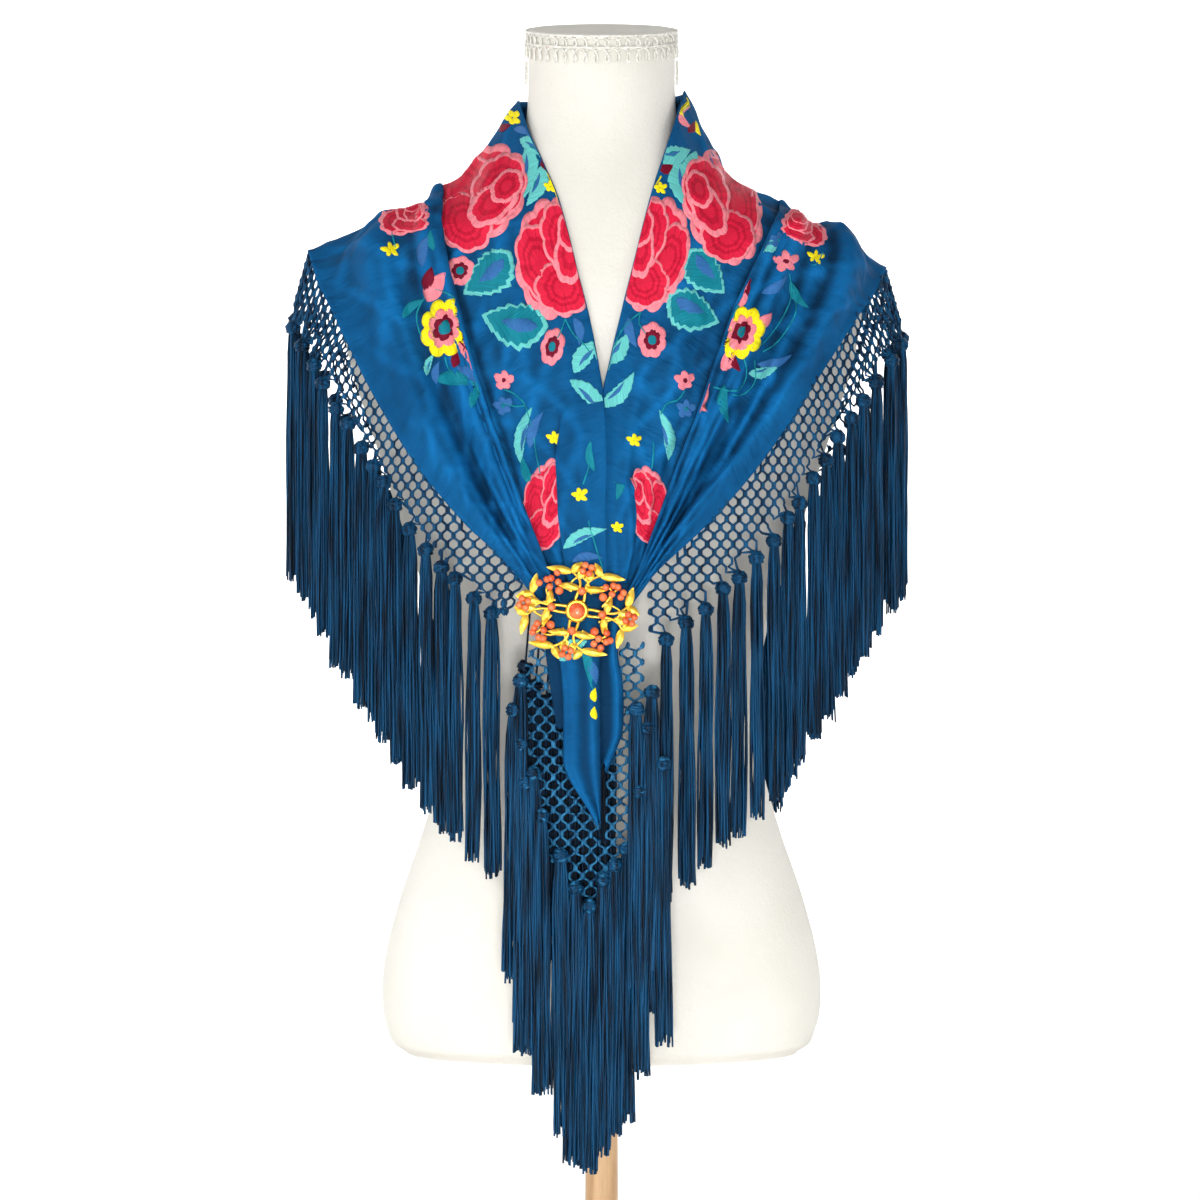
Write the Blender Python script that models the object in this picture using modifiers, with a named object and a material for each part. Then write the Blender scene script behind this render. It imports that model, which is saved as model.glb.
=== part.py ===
"""A triangular flamenco shawl, draped on a limbless dress form and pinned with a brooch.

Metres, +Z up. The form faces -Y and stands on its round base, whose underside is at Z = 0.
The shawl is one cloth triangle with a knotted net and a tassel fringe on its two short
edges. Each stretch of it that shows is a solid of its own. "Left" is the -X side.
"""
import math

import bmesh
import bpy
import numpy as np

for item in list(bpy.data.objects):
    bpy.data.objects.remove(item, do_unlink=True)

# ---------------------------------------------------------------- driving dimensions
CLOTH_THICK = 0.0015
NET_THICK = 0.0015
FRINGE_THICK = 0.008
FRINGE_DROP = 0.193      # length of a tassel below its knot
PLY_LIFT = 0.0029        # middle of one ply to the middle of the ply under it
FORM_CLEAR = 0.0024      # middle of the cloth to the form
SEAM = 0.0016            # gap between pieces that meet edge to edge at an angle
TASSEL_GAP = 0.0019      # gap between the knots' line and the fringe below it
SEAT = 0.0003            # gap between pieces that rest on each other
BACK_PLIES = 0.5         # the back panel's lift over the drape, in plies
BAND_PLIES = 0.88        # the centre bands lie flatter on the ply below them
BAND_TUCK = 0.012        # share of a row by which a band's edge rolls back
PLEAT_UNDER = 0.10       # share of a row that a pleat hides under the ply on top

BASE_RADIUS = 0.150
BASE_HEIGHT = 0.026
POLE_RADIUS = 0.0125
NECK_TOP = 1.019
NECK_TILT = math.radians(13.5)
NECK_RADIUS = 0.0565
CAP_THICK = 0.003
BRAID_HEIGHT = 0.023
BRAID_THICK = 0.0025
SIDE_BRAID_RADIUS = 0.0014
FORM_SIDES = 32

BACK_NECK_RADIUS = 0.0645
BACK_NECK_RISE = 0.010
COLLAR_SHARE = 0.11      # how far the collar folds down over the rows behind the neck

BROOCH_X = -0.018
BROOCH_Z = 0.571
BROOCH_HALF_WIDTH = 0.043
BROOCH_HALF_HEIGHT = 0.034
BROOCH_PLATE = 0.0015
BROOCH_BACK_Y = -0.1420
BEZEL_RADIUS = 0.0085
STONE_RADIUS = 0.0062
BEAD_RADIUS = 0.0042

# Form sections: height, half width, front depth, back depth, squareness of the outline.
FORM_SECTIONS = (
    (0.232, 0.150, 0.088, 0.100, 2.2),
    (0.240, 0.161, 0.095, 0.108, 2.2),
    (0.265, 0.168, 0.099, 0.113, 2.2),
    (0.300, 0.167, 0.100, 0.114, 2.2),
    (0.350, 0.155, 0.097, 0.108, 2.2),
    (0.400, 0.138, 0.092, 0.099, 2.2),
    (0.450, 0.124, 0.087, 0.091, 2.1),
    (0.500, 0.119, 0.085, 0.088, 2.1),
    (0.550, 0.126, 0.089, 0.092, 2.1),
    (0.600, 0.141, 0.097, 0.098, 2.2),
    (0.650, 0.158, 0.110, 0.104, 2.2),
    (0.700, 0.174, 0.117, 0.109, 2.2),
    (0.750, 0.190, 0.111, 0.112, 2.2),
    (0.790, 0.199, 0.101, 0.111, 2.2),
    (0.820, 0.201, 0.093, 0.107, 2.2),
    (0.838, 0.196, 0.088, 0.102, 2.2),
    (0.850, 0.184, 0.084, 0.097, 2.2),
    (0.862, 0.164, 0.080, 0.092, 2.1),
    (0.874, 0.138, 0.076, 0.086, 2.05),
    (0.886, 0.114, 0.072, 0.080, 2.0),
    (0.900, 0.091, 0.067, 0.073, 2.0),
    (0.916, 0.073, 0.062, 0.066, 2.0),
    (0.936, 0.061, 0.058, 0.060, 2.0),
    (0.960, 0.057, 0.0565, 0.057, 2.0),
)

# Rows of the shawl from the brooch up over a shoulder. Each row runs from the neck edge
# to the hem and ends at the knots below the net: neck edge, hem, knots. The two shares say
# where along the row the flat centre band and the hem-side ply have their folded edges.
LEFT_ROWS = (
    ((0.003, -0.138, 0.592), (-0.058, -0.133, 0.592), (-0.073, -0.134, 0.560), 0.45, 0.62),
    ((0.003, -0.134, 0.652), (-0.077, -0.127, 0.613), (-0.090, -0.129, 0.578), 0.37, 0.60),
    ((0.003, -0.129, 0.696), (-0.097, -0.121, 0.631), (-0.109, -0.124, 0.594), 0.29, 0.58),
    ((0.000, -0.122, 0.736), (-0.122, -0.112, 0.659), (-0.140, -0.112, 0.630), 0.20, 0.56),
    ((-0.008, -0.106, 0.783), (-0.146, -0.098, 0.692), (-0.166, -0.095, 0.672), 0.00, 0.53),
    ((-0.018, -0.094, 0.824), (-0.174, -0.078, 0.739), (-0.196, -0.072, 0.720), 0.00, 0.50),
    ((-0.033, -0.073, 0.882), (-0.199, -0.055, 0.788), (-0.220, -0.046, 0.760), 0.00, 0.47),
    ((-0.055, -0.036, 0.934), (-0.215, -0.028, 0.819), (-0.233, -0.024, 0.780), 0.00, 0.44),
    ((-0.063, 0.000, 0.962), (-0.225, 0.000, 0.845), (-0.238, 0.000, 0.798), 0.00, 0.42),
)
RIGHT_ROWS = (
    ((0.0045, -0.1365, 0.592), (0.034, -0.132, 0.592), (0.039, -0.134, 0.545), 0.45, 0.60),
    ((0.0045, -0.134, 0.640), (0.049, -0.129, 0.607), (0.057, -0.131, 0.558), 0.33, 0.56),
    ((0.0045, -0.129, 0.690), (0.078, -0.121, 0.634), (0.086, -0.125, 0.583), 0.20, 0.53),
    ((0.003, -0.122, 0.736), (0.108, -0.109, 0.668), (0.118, -0.114, 0.614), 0.00, 0.52),
    ((0.013, -0.106, 0.785), (0.138, -0.093, 0.709), (0.149, -0.098, 0.655), 0.00, 0.50),
    ((0.023, -0.094, 0.826), (0.164, -0.074, 0.750), (0.178, -0.077, 0.703), 0.00, 0.49),
    ((0.038, -0.071, 0.886), (0.190, -0.051, 0.789), (0.207, -0.050, 0.744), 0.00, 0.51),
    ((0.056, -0.036, 0.942), (0.206, -0.027, 0.812), (0.226, -0.025, 0.767), 0.00, 0.54),
    ((0.063, 0.000, 0.970), (0.218, 0.000, 0.832), (0.233, 0.000, 0.782), 0.00, 0.56),
)
# The line of each shoulder's top, from the neck edge out to the hem, as (x, z).
LEFT_SHOULDER_LINE = (
    (-0.063, 0.962), (-0.072, 0.953), (-0.080, 0.938), (-0.092, 0.918), (-0.109, 0.903),
    (-0.127, 0.892), (-0.146, 0.878), (-0.174, 0.866), (-0.199, 0.856), (-0.225, 0.845),
)
RIGHT_SHOULDER_LINE = (
    (0.063, 0.970), (0.071, 0.957), (0.080, 0.932), (0.093, 0.908), (0.112, 0.896),
    (0.129, 0.888), (0.146, 0.873), (0.168, 0.861), (0.192, 0.848), (0.218, 0.832),
)
# The back, from next to the shoulder to the centre, as on the -X side: hem, knots.
BACK_ROWS = (
    ((-0.211, 0.045, 0.812), (-0.227, 0.050, 0.772)),
    ((-0.193, 0.082, 0.768), (-0.208, 0.090, 0.733)),
    ((-0.163, 0.108, 0.708), (-0.177, 0.118, 0.672)),
    ((-0.128, 0.127, 0.640), (-0.140, 0.139, 0.600)),
    ((-0.086, 0.140, 0.562), (-0.096, 0.153, 0.516)),
    ((-0.043, 0.147, 0.484), (-0.050, 0.160, 0.430)),
    ((0.000, 0.150, 0.415), (0.000, 0.163, 0.350)),
)

# Soft folds of the cloth: side, share of the row at the brooch and at the shoulder,
# half width as a share of the row, height. A trough has a negative height.
SOFT_FOLDS = (
    ("left", 0.80, 0.62, 0.07, -0.0035),
    ("left", 0.92, 0.80, 0.06, 0.0030),
    ("left", 0.50, 0.20, 0.05, 0.0020),
    ("right", 0.78, 0.80, 0.05, 0.0040),
    ("right", 0.88, 0.68, 0.05, -0.0030),
    ("right", 0.45, 0.25, 0.05, 0.0020),
)

# The hanging ends below the brooch, as outlines: height, left edge, right edge.
TAIL_LEFT = (
    (0.5912, -0.040, -0.0005), (0.564, -0.036, -0.0010), (0.539, -0.031, -0.0015),
    (0.506, -0.028, -0.0015), (0.473, -0.028, -0.0010), (0.457, -0.027, -0.0008),
    (0.441, -0.019, -0.0008), (0.427, -0.009, -0.0008), (0.419, -0.0035, -0.0010),
)
TAIL_RIGHT = (
    (0.5912, 0.0003, 0.020), (0.564, -0.0002, 0.014), (0.539, -0.0007, 0.012),
    (0.517, -0.0007, 0.0155), (0.486, -0.0002, 0.0155), (0.471, 0.0000, 0.0106),
    (0.457, 0.0000, 0.0035),
)
TAIL_UNDER = (
    (0.588, -0.043, -0.010), (0.560, -0.042, -0.011), (0.533, -0.040, -0.012),
    (0.506, -0.036, -0.012), (0.489, -0.033, -0.014),
)
TAIL_NET_LEFT = (
    (0.546, -0.053, -0.030), (0.506, -0.056, -0.027), (0.463, -0.052, -0.020),
    (0.434, -0.045, -0.008), (0.397, -0.039, 0.002), (0.361, -0.030, 0.003),
    (0.334, -0.026, -0.004),
)
TAIL_NET_RIGHT = (
    (0.546, 0.014, 0.028), (0.506, 0.010, 0.028), (0.463, 0.004, 0.026),
    (0.420, 0.004, 0.020), (0.388, 0.004, 0.013),
)
TAIL_FRINGE_LEFT = (
    (0.521, -0.065, -0.052), (0.463, -0.070, -0.040), (0.361, -0.072, -0.0375),
    (0.280, -0.072, -0.0375), (0.255, -0.063, -0.0375), (0.226, -0.052, -0.0375),
    (0.193, -0.0415, -0.0375),
)
TAIL_FRINGE_MIDDLE = (
    (0.402, -0.036, 0.016), (0.361, -0.036, 0.0225), (0.317, -0.036, 0.028),
    (0.222, -0.036, 0.028), (0.186, -0.030, 0.028), (0.164, -0.023, 0.003),
    (0.154, -0.019, -0.005),
)
TAIL_FRINGE_RIGHT = (
    (0.506, 0.019, 0.039), (0.463, 0.019, 0.046), (0.390, 0.015, 0.0535),
    (0.310, 0.015, 0.0515), (0.252, 0.021, 0.046), (0.212, 0.028, 0.044),
)
# Depth layers of the hanging ends, from the front to the back (the middle of each wall).
TAIL_FRINGE_RIGHT_Y = -0.1494
TAIL_FRINGE_Y = -0.1410
TAIL_CLOTH_Y = -0.1405
TAIL_UNDER_Y = -0.1382
TAIL_NET_Y = -0.1359
TAIL_FRINGE_THICK = 0.0076

# ---------------------------------------------------------------- materials and scene
COLLECTION = bpy.data.collections.new("flamenco_shawl")
bpy.context.scene.collection.children.link(COLLECTION)


def material(name, colour, roughness, metallic=0.0):
    """A Principled material of one colour."""
    made = bpy.data.materials.new(name)
    made.use_nodes = True
    shader = made.node_tree.nodes["Principled BSDF"]
    shader.inputs["Base Color"].default_value = (*colour, 1.0)
    shader.inputs["Roughness"].default_value = roughness
    shader.inputs["Metallic"].default_value = metallic
    made.diffuse_color = (*colour, 1.0)
    return made


CREPE = material("blue_crepe", (0.011, 0.098, 0.255), 0.6)
SILK = material("blue_silk_cord", (0.007, 0.055, 0.125), 0.5)
COTTON = material("cream_cotton", (0.80, 0.78, 0.72), 0.85)
BRAID = material("white_braid", (0.78, 0.77, 0.74), 0.8)
WOOD = material("pale_wood", (0.55, 0.38, 0.22), 0.5)
GOLD = material("gilt_metal", (0.78, 0.50, 0.12), 0.3, 1.0)
CORAL = material("coral_bead", (0.80, 0.20, 0.06), 0.35)


def add_object(name, data, coat):
    """Link a mesh or curve as the named object, with its material."""
    obj = bpy.data.objects.new(name, data)
    obj.data.materials.append(coat)
    COLLECTION.objects.link(obj)
    return obj


def mesh_object(name, bm, coat):
    """Turn a bmesh into a named, smooth-shaded object."""
    bmesh.ops.recalc_face_normals(bm, faces=bm.faces)
    data = bpy.data.meshes.new(name)
    bm.to_mesh(data)
    bm.free()
    data.shade_smooth()
    data.set_sharp_from_angle(angle=math.radians(40))
    return add_object(name, data, coat)


# ---------------------------------------------------------------- curves through tables
def smooth_at(values, where):
    """Catmull-Rom value at the fractional row numbers `where` of a table of values."""
    values = np.asarray(values, float)
    where = np.atleast_1d(np.asarray(where, float))
    last = len(values) - 1
    low = np.clip(np.floor(where).astype(int), 0, last - 1)
    part = (where - low).reshape((-1,) + (1,) * (values.ndim - 1))
    first = values[np.clip(low - 1, 0, last)]
    start = values[low]
    end = values[low + 1]
    after = values[np.clip(low + 2, 0, last)]
    bend = (end - first) * part
    bend = bend + (2 * first - 5 * start + 4 * end - after) * part ** 2
    bend = bend + (3 * start - first - 3 * end + after) * part ** 3
    return start + 0.5 * bend


# ---------------------------------------------------------------- the form's surface
FORM_TABLE = np.array(FORM_SECTIONS)
SHOULDER_SECTION = FORM_SECTIONS[14]     # above this height the sections are doubled


def form_section(heights):
    """Half width, front, back and power of the form at the given heights."""
    where = np.interp(heights, FORM_TABLE[:, 0], np.arange(len(FORM_TABLE)))
    return smooth_at(FORM_TABLE[:, 1:], where)


def form_distance(points):
    """Rough distance of each point outside the form's skin, negative inside."""
    points = points.reshape(-1, 3)
    half, front, back, power = form_section(points[:, 2]).T
    depth = np.where(points[:, 1] < 0, front, back)
    across = np.abs(points[:, 0]) / half
    along = np.abs(points[:, 1]) / depth
    ratio = (across ** power + along ** power + 1e-9) ** (1 / power)
    radius = np.hypot(points[:, 0], points[:, 1]) / ratio
    return (ratio - 1) * radius


def push_clear(points, clearance):
    """Move the points that are nearer than the clearance straight out of the form."""
    moved = points.reshape(-1, 3).copy()
    step = 0.0005
    for _ in range(3):
        here = form_distance(moved)
        slopes = []
        for axis in range(3):
            shifted = moved.copy()
            shifted[:, axis] += step
            slopes.append((form_distance(shifted) - here) / step)
        slope = np.stack(slopes, axis=1)
        steepness = np.maximum((slope ** 2).sum(axis=1), 0.2)
        lack = np.maximum(clearance * np.sqrt(steepness) - here, 0.0)
        moved += slope * (lack / steepness)[:, None]
    return moved.reshape(points.shape)


# ---------------------------------------------------------------- the shawl's surface
FRONT_ROWS = len(LEFT_ROWS)
BACK_STEPS = len(BACK_ROWS)
LEFT_SHOULDER = float(FRONT_ROWS - 1)
CENTRE_BACK = LEFT_SHOULDER + BACK_STEPS
RIGHT_SHOULDER = CENTRE_BACK + BACK_STEPS
LAST_ROW = RIGHT_SHOULDER + FRONT_ROWS - 1


def back_neck_point(step, side):
    """A point of the neck edge on its arc round the back of the neck."""
    angle = math.pi / 2 * (1 - step / BACK_STEPS)
    rise = BACK_NECK_RISE * math.cos(angle)
    side_z = LEFT_ROWS[-1][0][2] if side < 0 else RIGHT_ROWS[-1][0][2]
    height = side_z + rise if side < 0 else side_z + rise * 0.2
    return (side * BACK_NECK_RADIUS * math.sin(angle), BACK_NECK_RADIUS * math.cos(angle), height)


def all_rows():
    """Neck, hem and knot points of every row, from the left brooch end to the right one."""
    neck = [row[0] for row in LEFT_ROWS]
    hem = [row[1] for row in LEFT_ROWS]
    knot = [row[2] for row in LEFT_ROWS]
    for step, row in enumerate(BACK_ROWS, start=1):
        neck.append(back_neck_point(step, -1))
        hem.append(row[0])
        knot.append(row[1])
    for step in range(BACK_STEPS - 1, 0, -1):
        mirrored = [(-x, y, z) for x, y, z in BACK_ROWS[step - 1]]
        neck.append(back_neck_point(step, 1))
        hem.append(mirrored[0])
        knot.append(mirrored[1])
    for row in reversed(RIGHT_ROWS):
        neck.append(row[0])
        hem.append(row[1])
        knot.append(row[2])
    return np.array(neck), np.array(hem), np.array(knot)


NECK_LINE, HEM_LINE, KNOT_LINE = all_rows()
GRID_PER_ROW = 2
GRID_ROWS = int(LAST_ROW) * GRID_PER_ROW + 1
GRID_COLUMNS = 25
RELAX_PASSES = 400


def shoulder_top(line):
    """Evenly spaced points of the row that lies along a shoulder's top."""
    x, z = smooth_at(line, np.linspace(0, len(line) - 1, 8 * len(line))).T
    run = np.concatenate([[0.0], np.cumsum(np.hypot(np.diff(x), np.diff(z)))])
    where = np.linspace(0, run[-1], GRID_COLUMNS)
    return np.stack([np.interp(where, run, x), 0 * where, np.interp(where, run, z)], axis=1)


def drape():
    """A grid stretched between neck edge and hem like a taut skin over the form."""
    rows = np.linspace(0, LAST_ROW, GRID_ROWS)
    neck = push_clear(smooth_at(NECK_LINE, rows), FORM_CLEAR)
    hem = push_clear(smooth_at(HEM_LINE, rows), FORM_CLEAR)
    share = np.linspace(0, 1, GRID_COLUMNS)[None, :, None]
    grid = neck[:, None] * (1 - share) + hem[:, None] * share
    shoulders = (
        (int(LEFT_SHOULDER) * GRID_PER_ROW, shoulder_top(LEFT_SHOULDER_LINE)),
        (int(RIGHT_SHOULDER) * GRID_PER_ROW, shoulder_top(RIGHT_SHOULDER_LINE)),
    )
    for _ in range(RELAX_PASSES):
        across = (grid[1:-1, :-2] + grid[1:-1, 2:]) / 2
        along = (grid[:-2, 1:-1] + grid[2:, 1:-1]) / 2
        grid[1:-1, 1:-1] = 0.75 * across + 0.25 * along
        for row, line in shoulders:
            grid[row] = line
        grid[1:-1, 1:-1] = push_clear(grid[1:-1, 1:-1], FORM_CLEAR)
    return grid


DRAPE = drape()


def outward(grid):
    """Unit normals of a grid of points, facing away from the form's axis."""
    down = np.gradient(grid, axis=0)
    over = np.gradient(grid, axis=1)
    normal = np.cross(down, over)
    normal /= np.maximum(np.linalg.norm(normal, axis=2, keepdims=True), 1e-9)
    middle = grid.mean(axis=(0, 1))
    facing = np.sign(np.dot(normal.mean(axis=(0, 1)), middle - np.array((0, 0, 0.70))))
    return normal * (facing if facing else 1.0)


DRAPE_NORMALS = outward(DRAPE)


FOLD_FADE_ROWS = 3       # rows over which a fold fades out past the shoulder
FOLD_START_ROWS = 1.5    # rows over which a fold grows up from the brooch


def soft_relief(rows, shares):
    """Height of the soft folds at each row and share."""
    height = np.zeros_like(shares)
    for side, at_brooch, at_shoulder, half, size in SOFT_FOLDS:
        distance = rows if side == "left" else LAST_ROW - rows
        way = np.clip(distance / LEFT_SHOULDER, 0, 1)
        centre = at_brooch + (at_shoulder - at_brooch) * way
        fade = np.clip((LEFT_SHOULDER + 1 - distance) / FOLD_FADE_ROWS, 0, 1)
        fade = fade * np.clip(distance / FOLD_START_ROWS, 0, 1)
        height += size * fade * np.exp(-((shares - centre) / half) ** 2)
    return height


def shawl_points(rows, shares, lift):
    """Points of the shawl at matching arrays of rows and shares, lifted off the drape."""
    across = np.clip(shares, 0, 1) * (GRID_COLUMNS - 1)
    down = np.clip(rows, 0, LAST_ROW) * GRID_PER_ROW
    low_r = np.minimum(np.floor(down).astype(int), GRID_ROWS - 2)
    low_c = np.minimum(np.floor(across).astype(int), GRID_COLUMNS - 2)
    part_r = (down - low_r)[..., None]
    part_c = (across - low_c)[..., None]

    def blend(table):
        first = table[low_r, low_c] * (1 - part_c) + table[low_r, low_c + 1] * part_c
        second = table[low_r + 1, low_c] * (1 - part_c) + table[low_r + 1, low_c + 1] * part_c
        return first * (1 - part_r) + second * part_r

    height = lift + np.maximum(soft_relief(rows, shares), 0.0)
    trough = np.minimum(soft_relief(rows, shares), 0.0)
    points = blend(DRAPE)
    normals = blend(DRAPE_NORMALS)
    points = points + normals * (height + trough)[..., None]
    return push_clear(points, FORM_CLEAR + lift)


# ---------------------------------------------------------------- makers
def wall(name, grid, thickness, coat):
    """A wall of even thickness on a grid of points (rows, columns, xyz)."""
    rows, columns = grid.shape[:2]
    bm = bmesh.new()
    bmesh.ops.create_grid(bm, x_segments=columns - 1, y_segments=rows - 1, size=0.5)
    bm.verts.ensure_lookup_table()
    for vert, place in zip(bm.verts, grid.reshape(-1, 3)):
        vert.co = place
    obj = mesh_object(name, bm, coat)
    shell = obj.modifiers.new("thickness", "SOLIDIFY")
    shell.thickness = thickness
    shell.offset = 0.0
    shell.use_even_offset = True
    return obj


def shawl_panel(name, rows, start, end, columns, plies):
    """One stretch of cloth: `start` and `end` give its shares at each of its rows."""
    across = np.linspace(0, 1, columns)[None, :]
    start = np.asarray(start)[:, None]
    end = np.asarray(end)[:, None]
    shares = start * (1 - across) + end * across
    row_grid = np.broadcast_to(np.asarray(rows)[:, None], shares.shape)
    grid = shawl_points(row_grid, shares, plies * PLY_LIFT)
    return wall(name, grid, CLOTH_THICK, CREPE)


def outline_wall(name, outline, depth, thickness, coat, columns=4, bow=0.0):
    """An upright wall with the table's outline, bowed forward at its middle."""
    table = np.array(outline)
    rows = np.linspace(0, len(table) - 1, 2 * len(table) - 1)
    heights, left, right = np.array([np.interp(rows, np.arange(len(table)), c) for c in table.T])
    across = np.linspace(0, 1, columns)[None, :]
    x = left[:, None] * (1 - across) + right[:, None] * across
    y = np.full_like(x, depth) - bow * np.sin(math.pi * across)
    z = np.broadcast_to(heights[:, None], x.shape)
    return wall(name, np.stack([x, y, z], axis=2), thickness, coat)


def turned(name, profile, coat, sides=48, place=(0, 0, 0), tilt=None):
    """A turned solid: the profile runs down its outer side as (radius, height) pairs."""
    bm = bmesh.new()
    verts = [bm.verts.new((radius, 0, height)) for radius, height in profile]
    for first, second in zip(verts, verts[1:]):
        bm.edges.new((first, second))
    data = bpy.data.meshes.new(name)
    bm.to_mesh(data)
    bm.free()
    obj = add_object(name, data, coat)
    spin = obj.modifiers.new("turn", "SCREW")
    spin.steps = sides
    spin.render_steps = sides
    spin.use_merge_vertices = True
    spin.merge_threshold = 0.00001
    spin.use_smooth_shade = True
    obj.location = place
    if tilt is not None:
        obj.rotation_euler = tilt
    return obj


# ---------------------------------------------------------------- the dress form
def ring_points(half, front, back, power, height, tilt=0.0):
    """One closed section of the form."""
    points = []
    for side in range(FORM_SIDES):
        angle = 2 * math.pi * side / FORM_SIDES
        cosine, sine = math.cos(angle), math.sin(angle)
        x = half * math.copysign(abs(cosine) ** (2 / power), cosine)
        depth = back if sine > 0 else front
        y = depth * math.copysign(abs(sine) ** (2 / power), sine)
        points.append((x, y, height + y * math.tan(tilt)))
    return points


def loft(name, rings, coat):
    """A solid through closed rings with the same number of points, capped at both ends."""
    bm = bmesh.new()
    loops = [[bm.verts.new(point) for point in ring] for ring in rings]
    for lower, upper in zip(loops, loops[1:]):
        for side in range(len(lower)):
            after = (side + 1) % len(lower)
            bm.faces.new((lower[side], lower[after], upper[after], upper[side]))
    bm.faces.new(loops[0])
    bm.faces.new(loops[-1])
    return mesh_object(name, bm, coat)


def neck_ring(radius, height, tilt):
    """One round section of the neck."""
    return ring_points(radius, radius, radius, 2.0, height, tilt)


def make_form():
    """The torso with its neck, and the cap that closes the neck."""
    where = np.arange(0, len(FORM_SECTIONS) - 1 + 0.01)
    shoulder = np.arange(FORM_SECTIONS.index(SHOULDER_SECTION) + 0.5, len(FORM_SECTIONS) - 1)
    where = np.sort(np.concatenate([where, shoulder]))
    heights = smooth_at(FORM_TABLE[:, 0], where)
    sections = form_section(heights)
    rings = [ring_points(*section, height) for section, height in zip(sections, heights)]
    rings.append(neck_ring(NECK_RADIUS, 0.985, NECK_TILT / 2))
    rings.append(neck_ring(NECK_RADIUS, NECK_TOP - CAP_THICK - SEAT, NECK_TILT))
    loft("form_torso", rings, COTTON)
    cap_rings = [
        neck_ring(NECK_RADIUS, NECK_TOP - CAP_THICK, NECK_TILT),
        neck_ring(NECK_RADIUS, NECK_TOP - 0.001, NECK_TILT),
        neck_ring(NECK_RADIUS - 0.002, NECK_TOP, NECK_TILT),
    ]
    loft("form_neck_cap", cap_rings, COTTON)


def make_neck_braid():
    """The gimp band round the top of the neck and the cords down its two sides."""
    bm = bmesh.new()
    inner = NECK_RADIUS + SEAT
    outer = inner + BRAID_THICK
    top = NECK_TOP - 0.0005
    corners = ((inner, top), (outer, top), (outer, top - BRAID_HEIGHT), (inner, top - BRAID_HEIGHT))
    loops = [[bm.verts.new(p) for p in neck_ring(r, h, NECK_TILT)] for r, h in corners]
    for first, second in zip(loops, loops[1:] + loops[:1]):
        for side in range(FORM_SIDES):
            after = (side + 1) % FORM_SIDES
            bm.faces.new((first[side], first[after], second[after], second[side]))
    mesh_object("neck_braid", bm, BRAID)
    for side, name in ((-1, "neck_cord_left"), (1, "neck_cord_right")):
        data = bpy.data.curves.new(name, "CURVE")
        data.dimensions = "3D"
        data.bevel_depth = SIDE_BRAID_RADIUS
        data.bevel_resolution = 1
        data.use_fill_caps = True
        spline = data.splines.new("POLY")
        x = side * (NECK_RADIUS + SIDE_BRAID_RADIUS + 0.0006)
        heights = np.linspace(NECK_TOP - BRAID_HEIGHT - 0.002, 0.978, 4)
        spline.points.add(len(heights) - 1)
        for point, height in zip(spline.points, heights):
            point.co = (x, 0.0, height, 1.0)
        add_object(name, data, BRAID)


def make_stand():
    """A round wooden base and the short pole that carries the form."""
    base_profile = (
        (0.0, BASE_HEIGHT), (POLE_RADIUS + 0.020, BASE_HEIGHT), (0.120, BASE_HEIGHT - 0.004),
        (BASE_RADIUS - 0.004, BASE_HEIGHT - 0.010), (BASE_RADIUS, 0.010),
        (BASE_RADIUS, 0.003), (BASE_RADIUS - 0.003, 0.0), (0.0, 0.0),
    )
    turned("stand_base", base_profile, WOOD)
    foot = BASE_HEIGHT + SEAT
    head = FORM_TABLE[0, 0] - SEAT
    pole_profile = (
        (0.0, head), (0.030, head), (0.032, head - 0.004), (0.030, head - 0.010),
        (POLE_RADIUS + 0.003, head - 0.014), (POLE_RADIUS, head - 0.020),
        (POLE_RADIUS, foot + 0.030), (POLE_RADIUS + 0.006, foot + 0.022),
        (POLE_RADIUS + 0.009, foot + 0.012), (POLE_RADIUS + 0.014, foot + 0.006),
        (POLE_RADIUS + 0.014, foot), (0.0, foot),
    )
    turned("stand_pole", pole_profile, WOOD, sides=24)


# ---------------------------------------------------------------- the cloth
ROW_GAP = 0.05           # gap between the front and back stretches, in rows
FRONT_STEPS = np.linspace(0, LEFT_SHOULDER - ROW_GAP, 17)
BACK_STATIONS = np.linspace(LEFT_SHOULDER + ROW_GAP, RIGHT_SHOULDER - ROW_GAP, 37)


def table_column(rows, number, where):
    """A share column of LEFT_ROWS or RIGHT_ROWS, read at fractional row numbers."""
    return np.interp(where, np.arange(len(rows)), [row[number] for row in rows])


def make_front(side, table, to_row):
    """Three plies of one front: the neck-side ply, the hem-side ply and the centre band."""
    steps = FRONT_STEPS
    pleat = table_column(table, 4, steps)
    nothing = np.zeros_like(steps)
    inner_end = pleat + PLEAT_UNDER
    shawl_panel(f"{side}_front_inner", to_row(steps), nothing, inner_end, 9, 0)
    shawl_panel(f"{side}_front_outer", to_row(steps), pleat, nothing + 1, 8, 1)
    band_rows = sum(1 for row in table if row[3] > 0)
    steps = np.linspace(0, band_rows - 1, 2 * band_rows - 1)
    band = table_column(table, 3, steps)
    shawl_panel(f"{side}_front_band", to_row(steps), 0 * steps, band - BAND_TUCK, 4, BAND_PLIES)


def make_back():
    """The back panel from shoulder to shoulder and the collar folded down at the neck."""
    rows = BACK_STATIONS
    shawl_panel("back_panel", rows, 0 * rows, 0 * rows + 1, 14, BACK_PLIES)
    rows = np.linspace(LEFT_SHOULDER + 0.2, RIGHT_SHOULDER - 0.2, 25)
    fade = np.sin(np.linspace(0.35, math.pi - 0.35, len(rows)))
    shawl_panel("collar_fold", rows, 0 * rows, COLLAR_SHARE * fade, 3, BACK_PLIES + 1)


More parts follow.
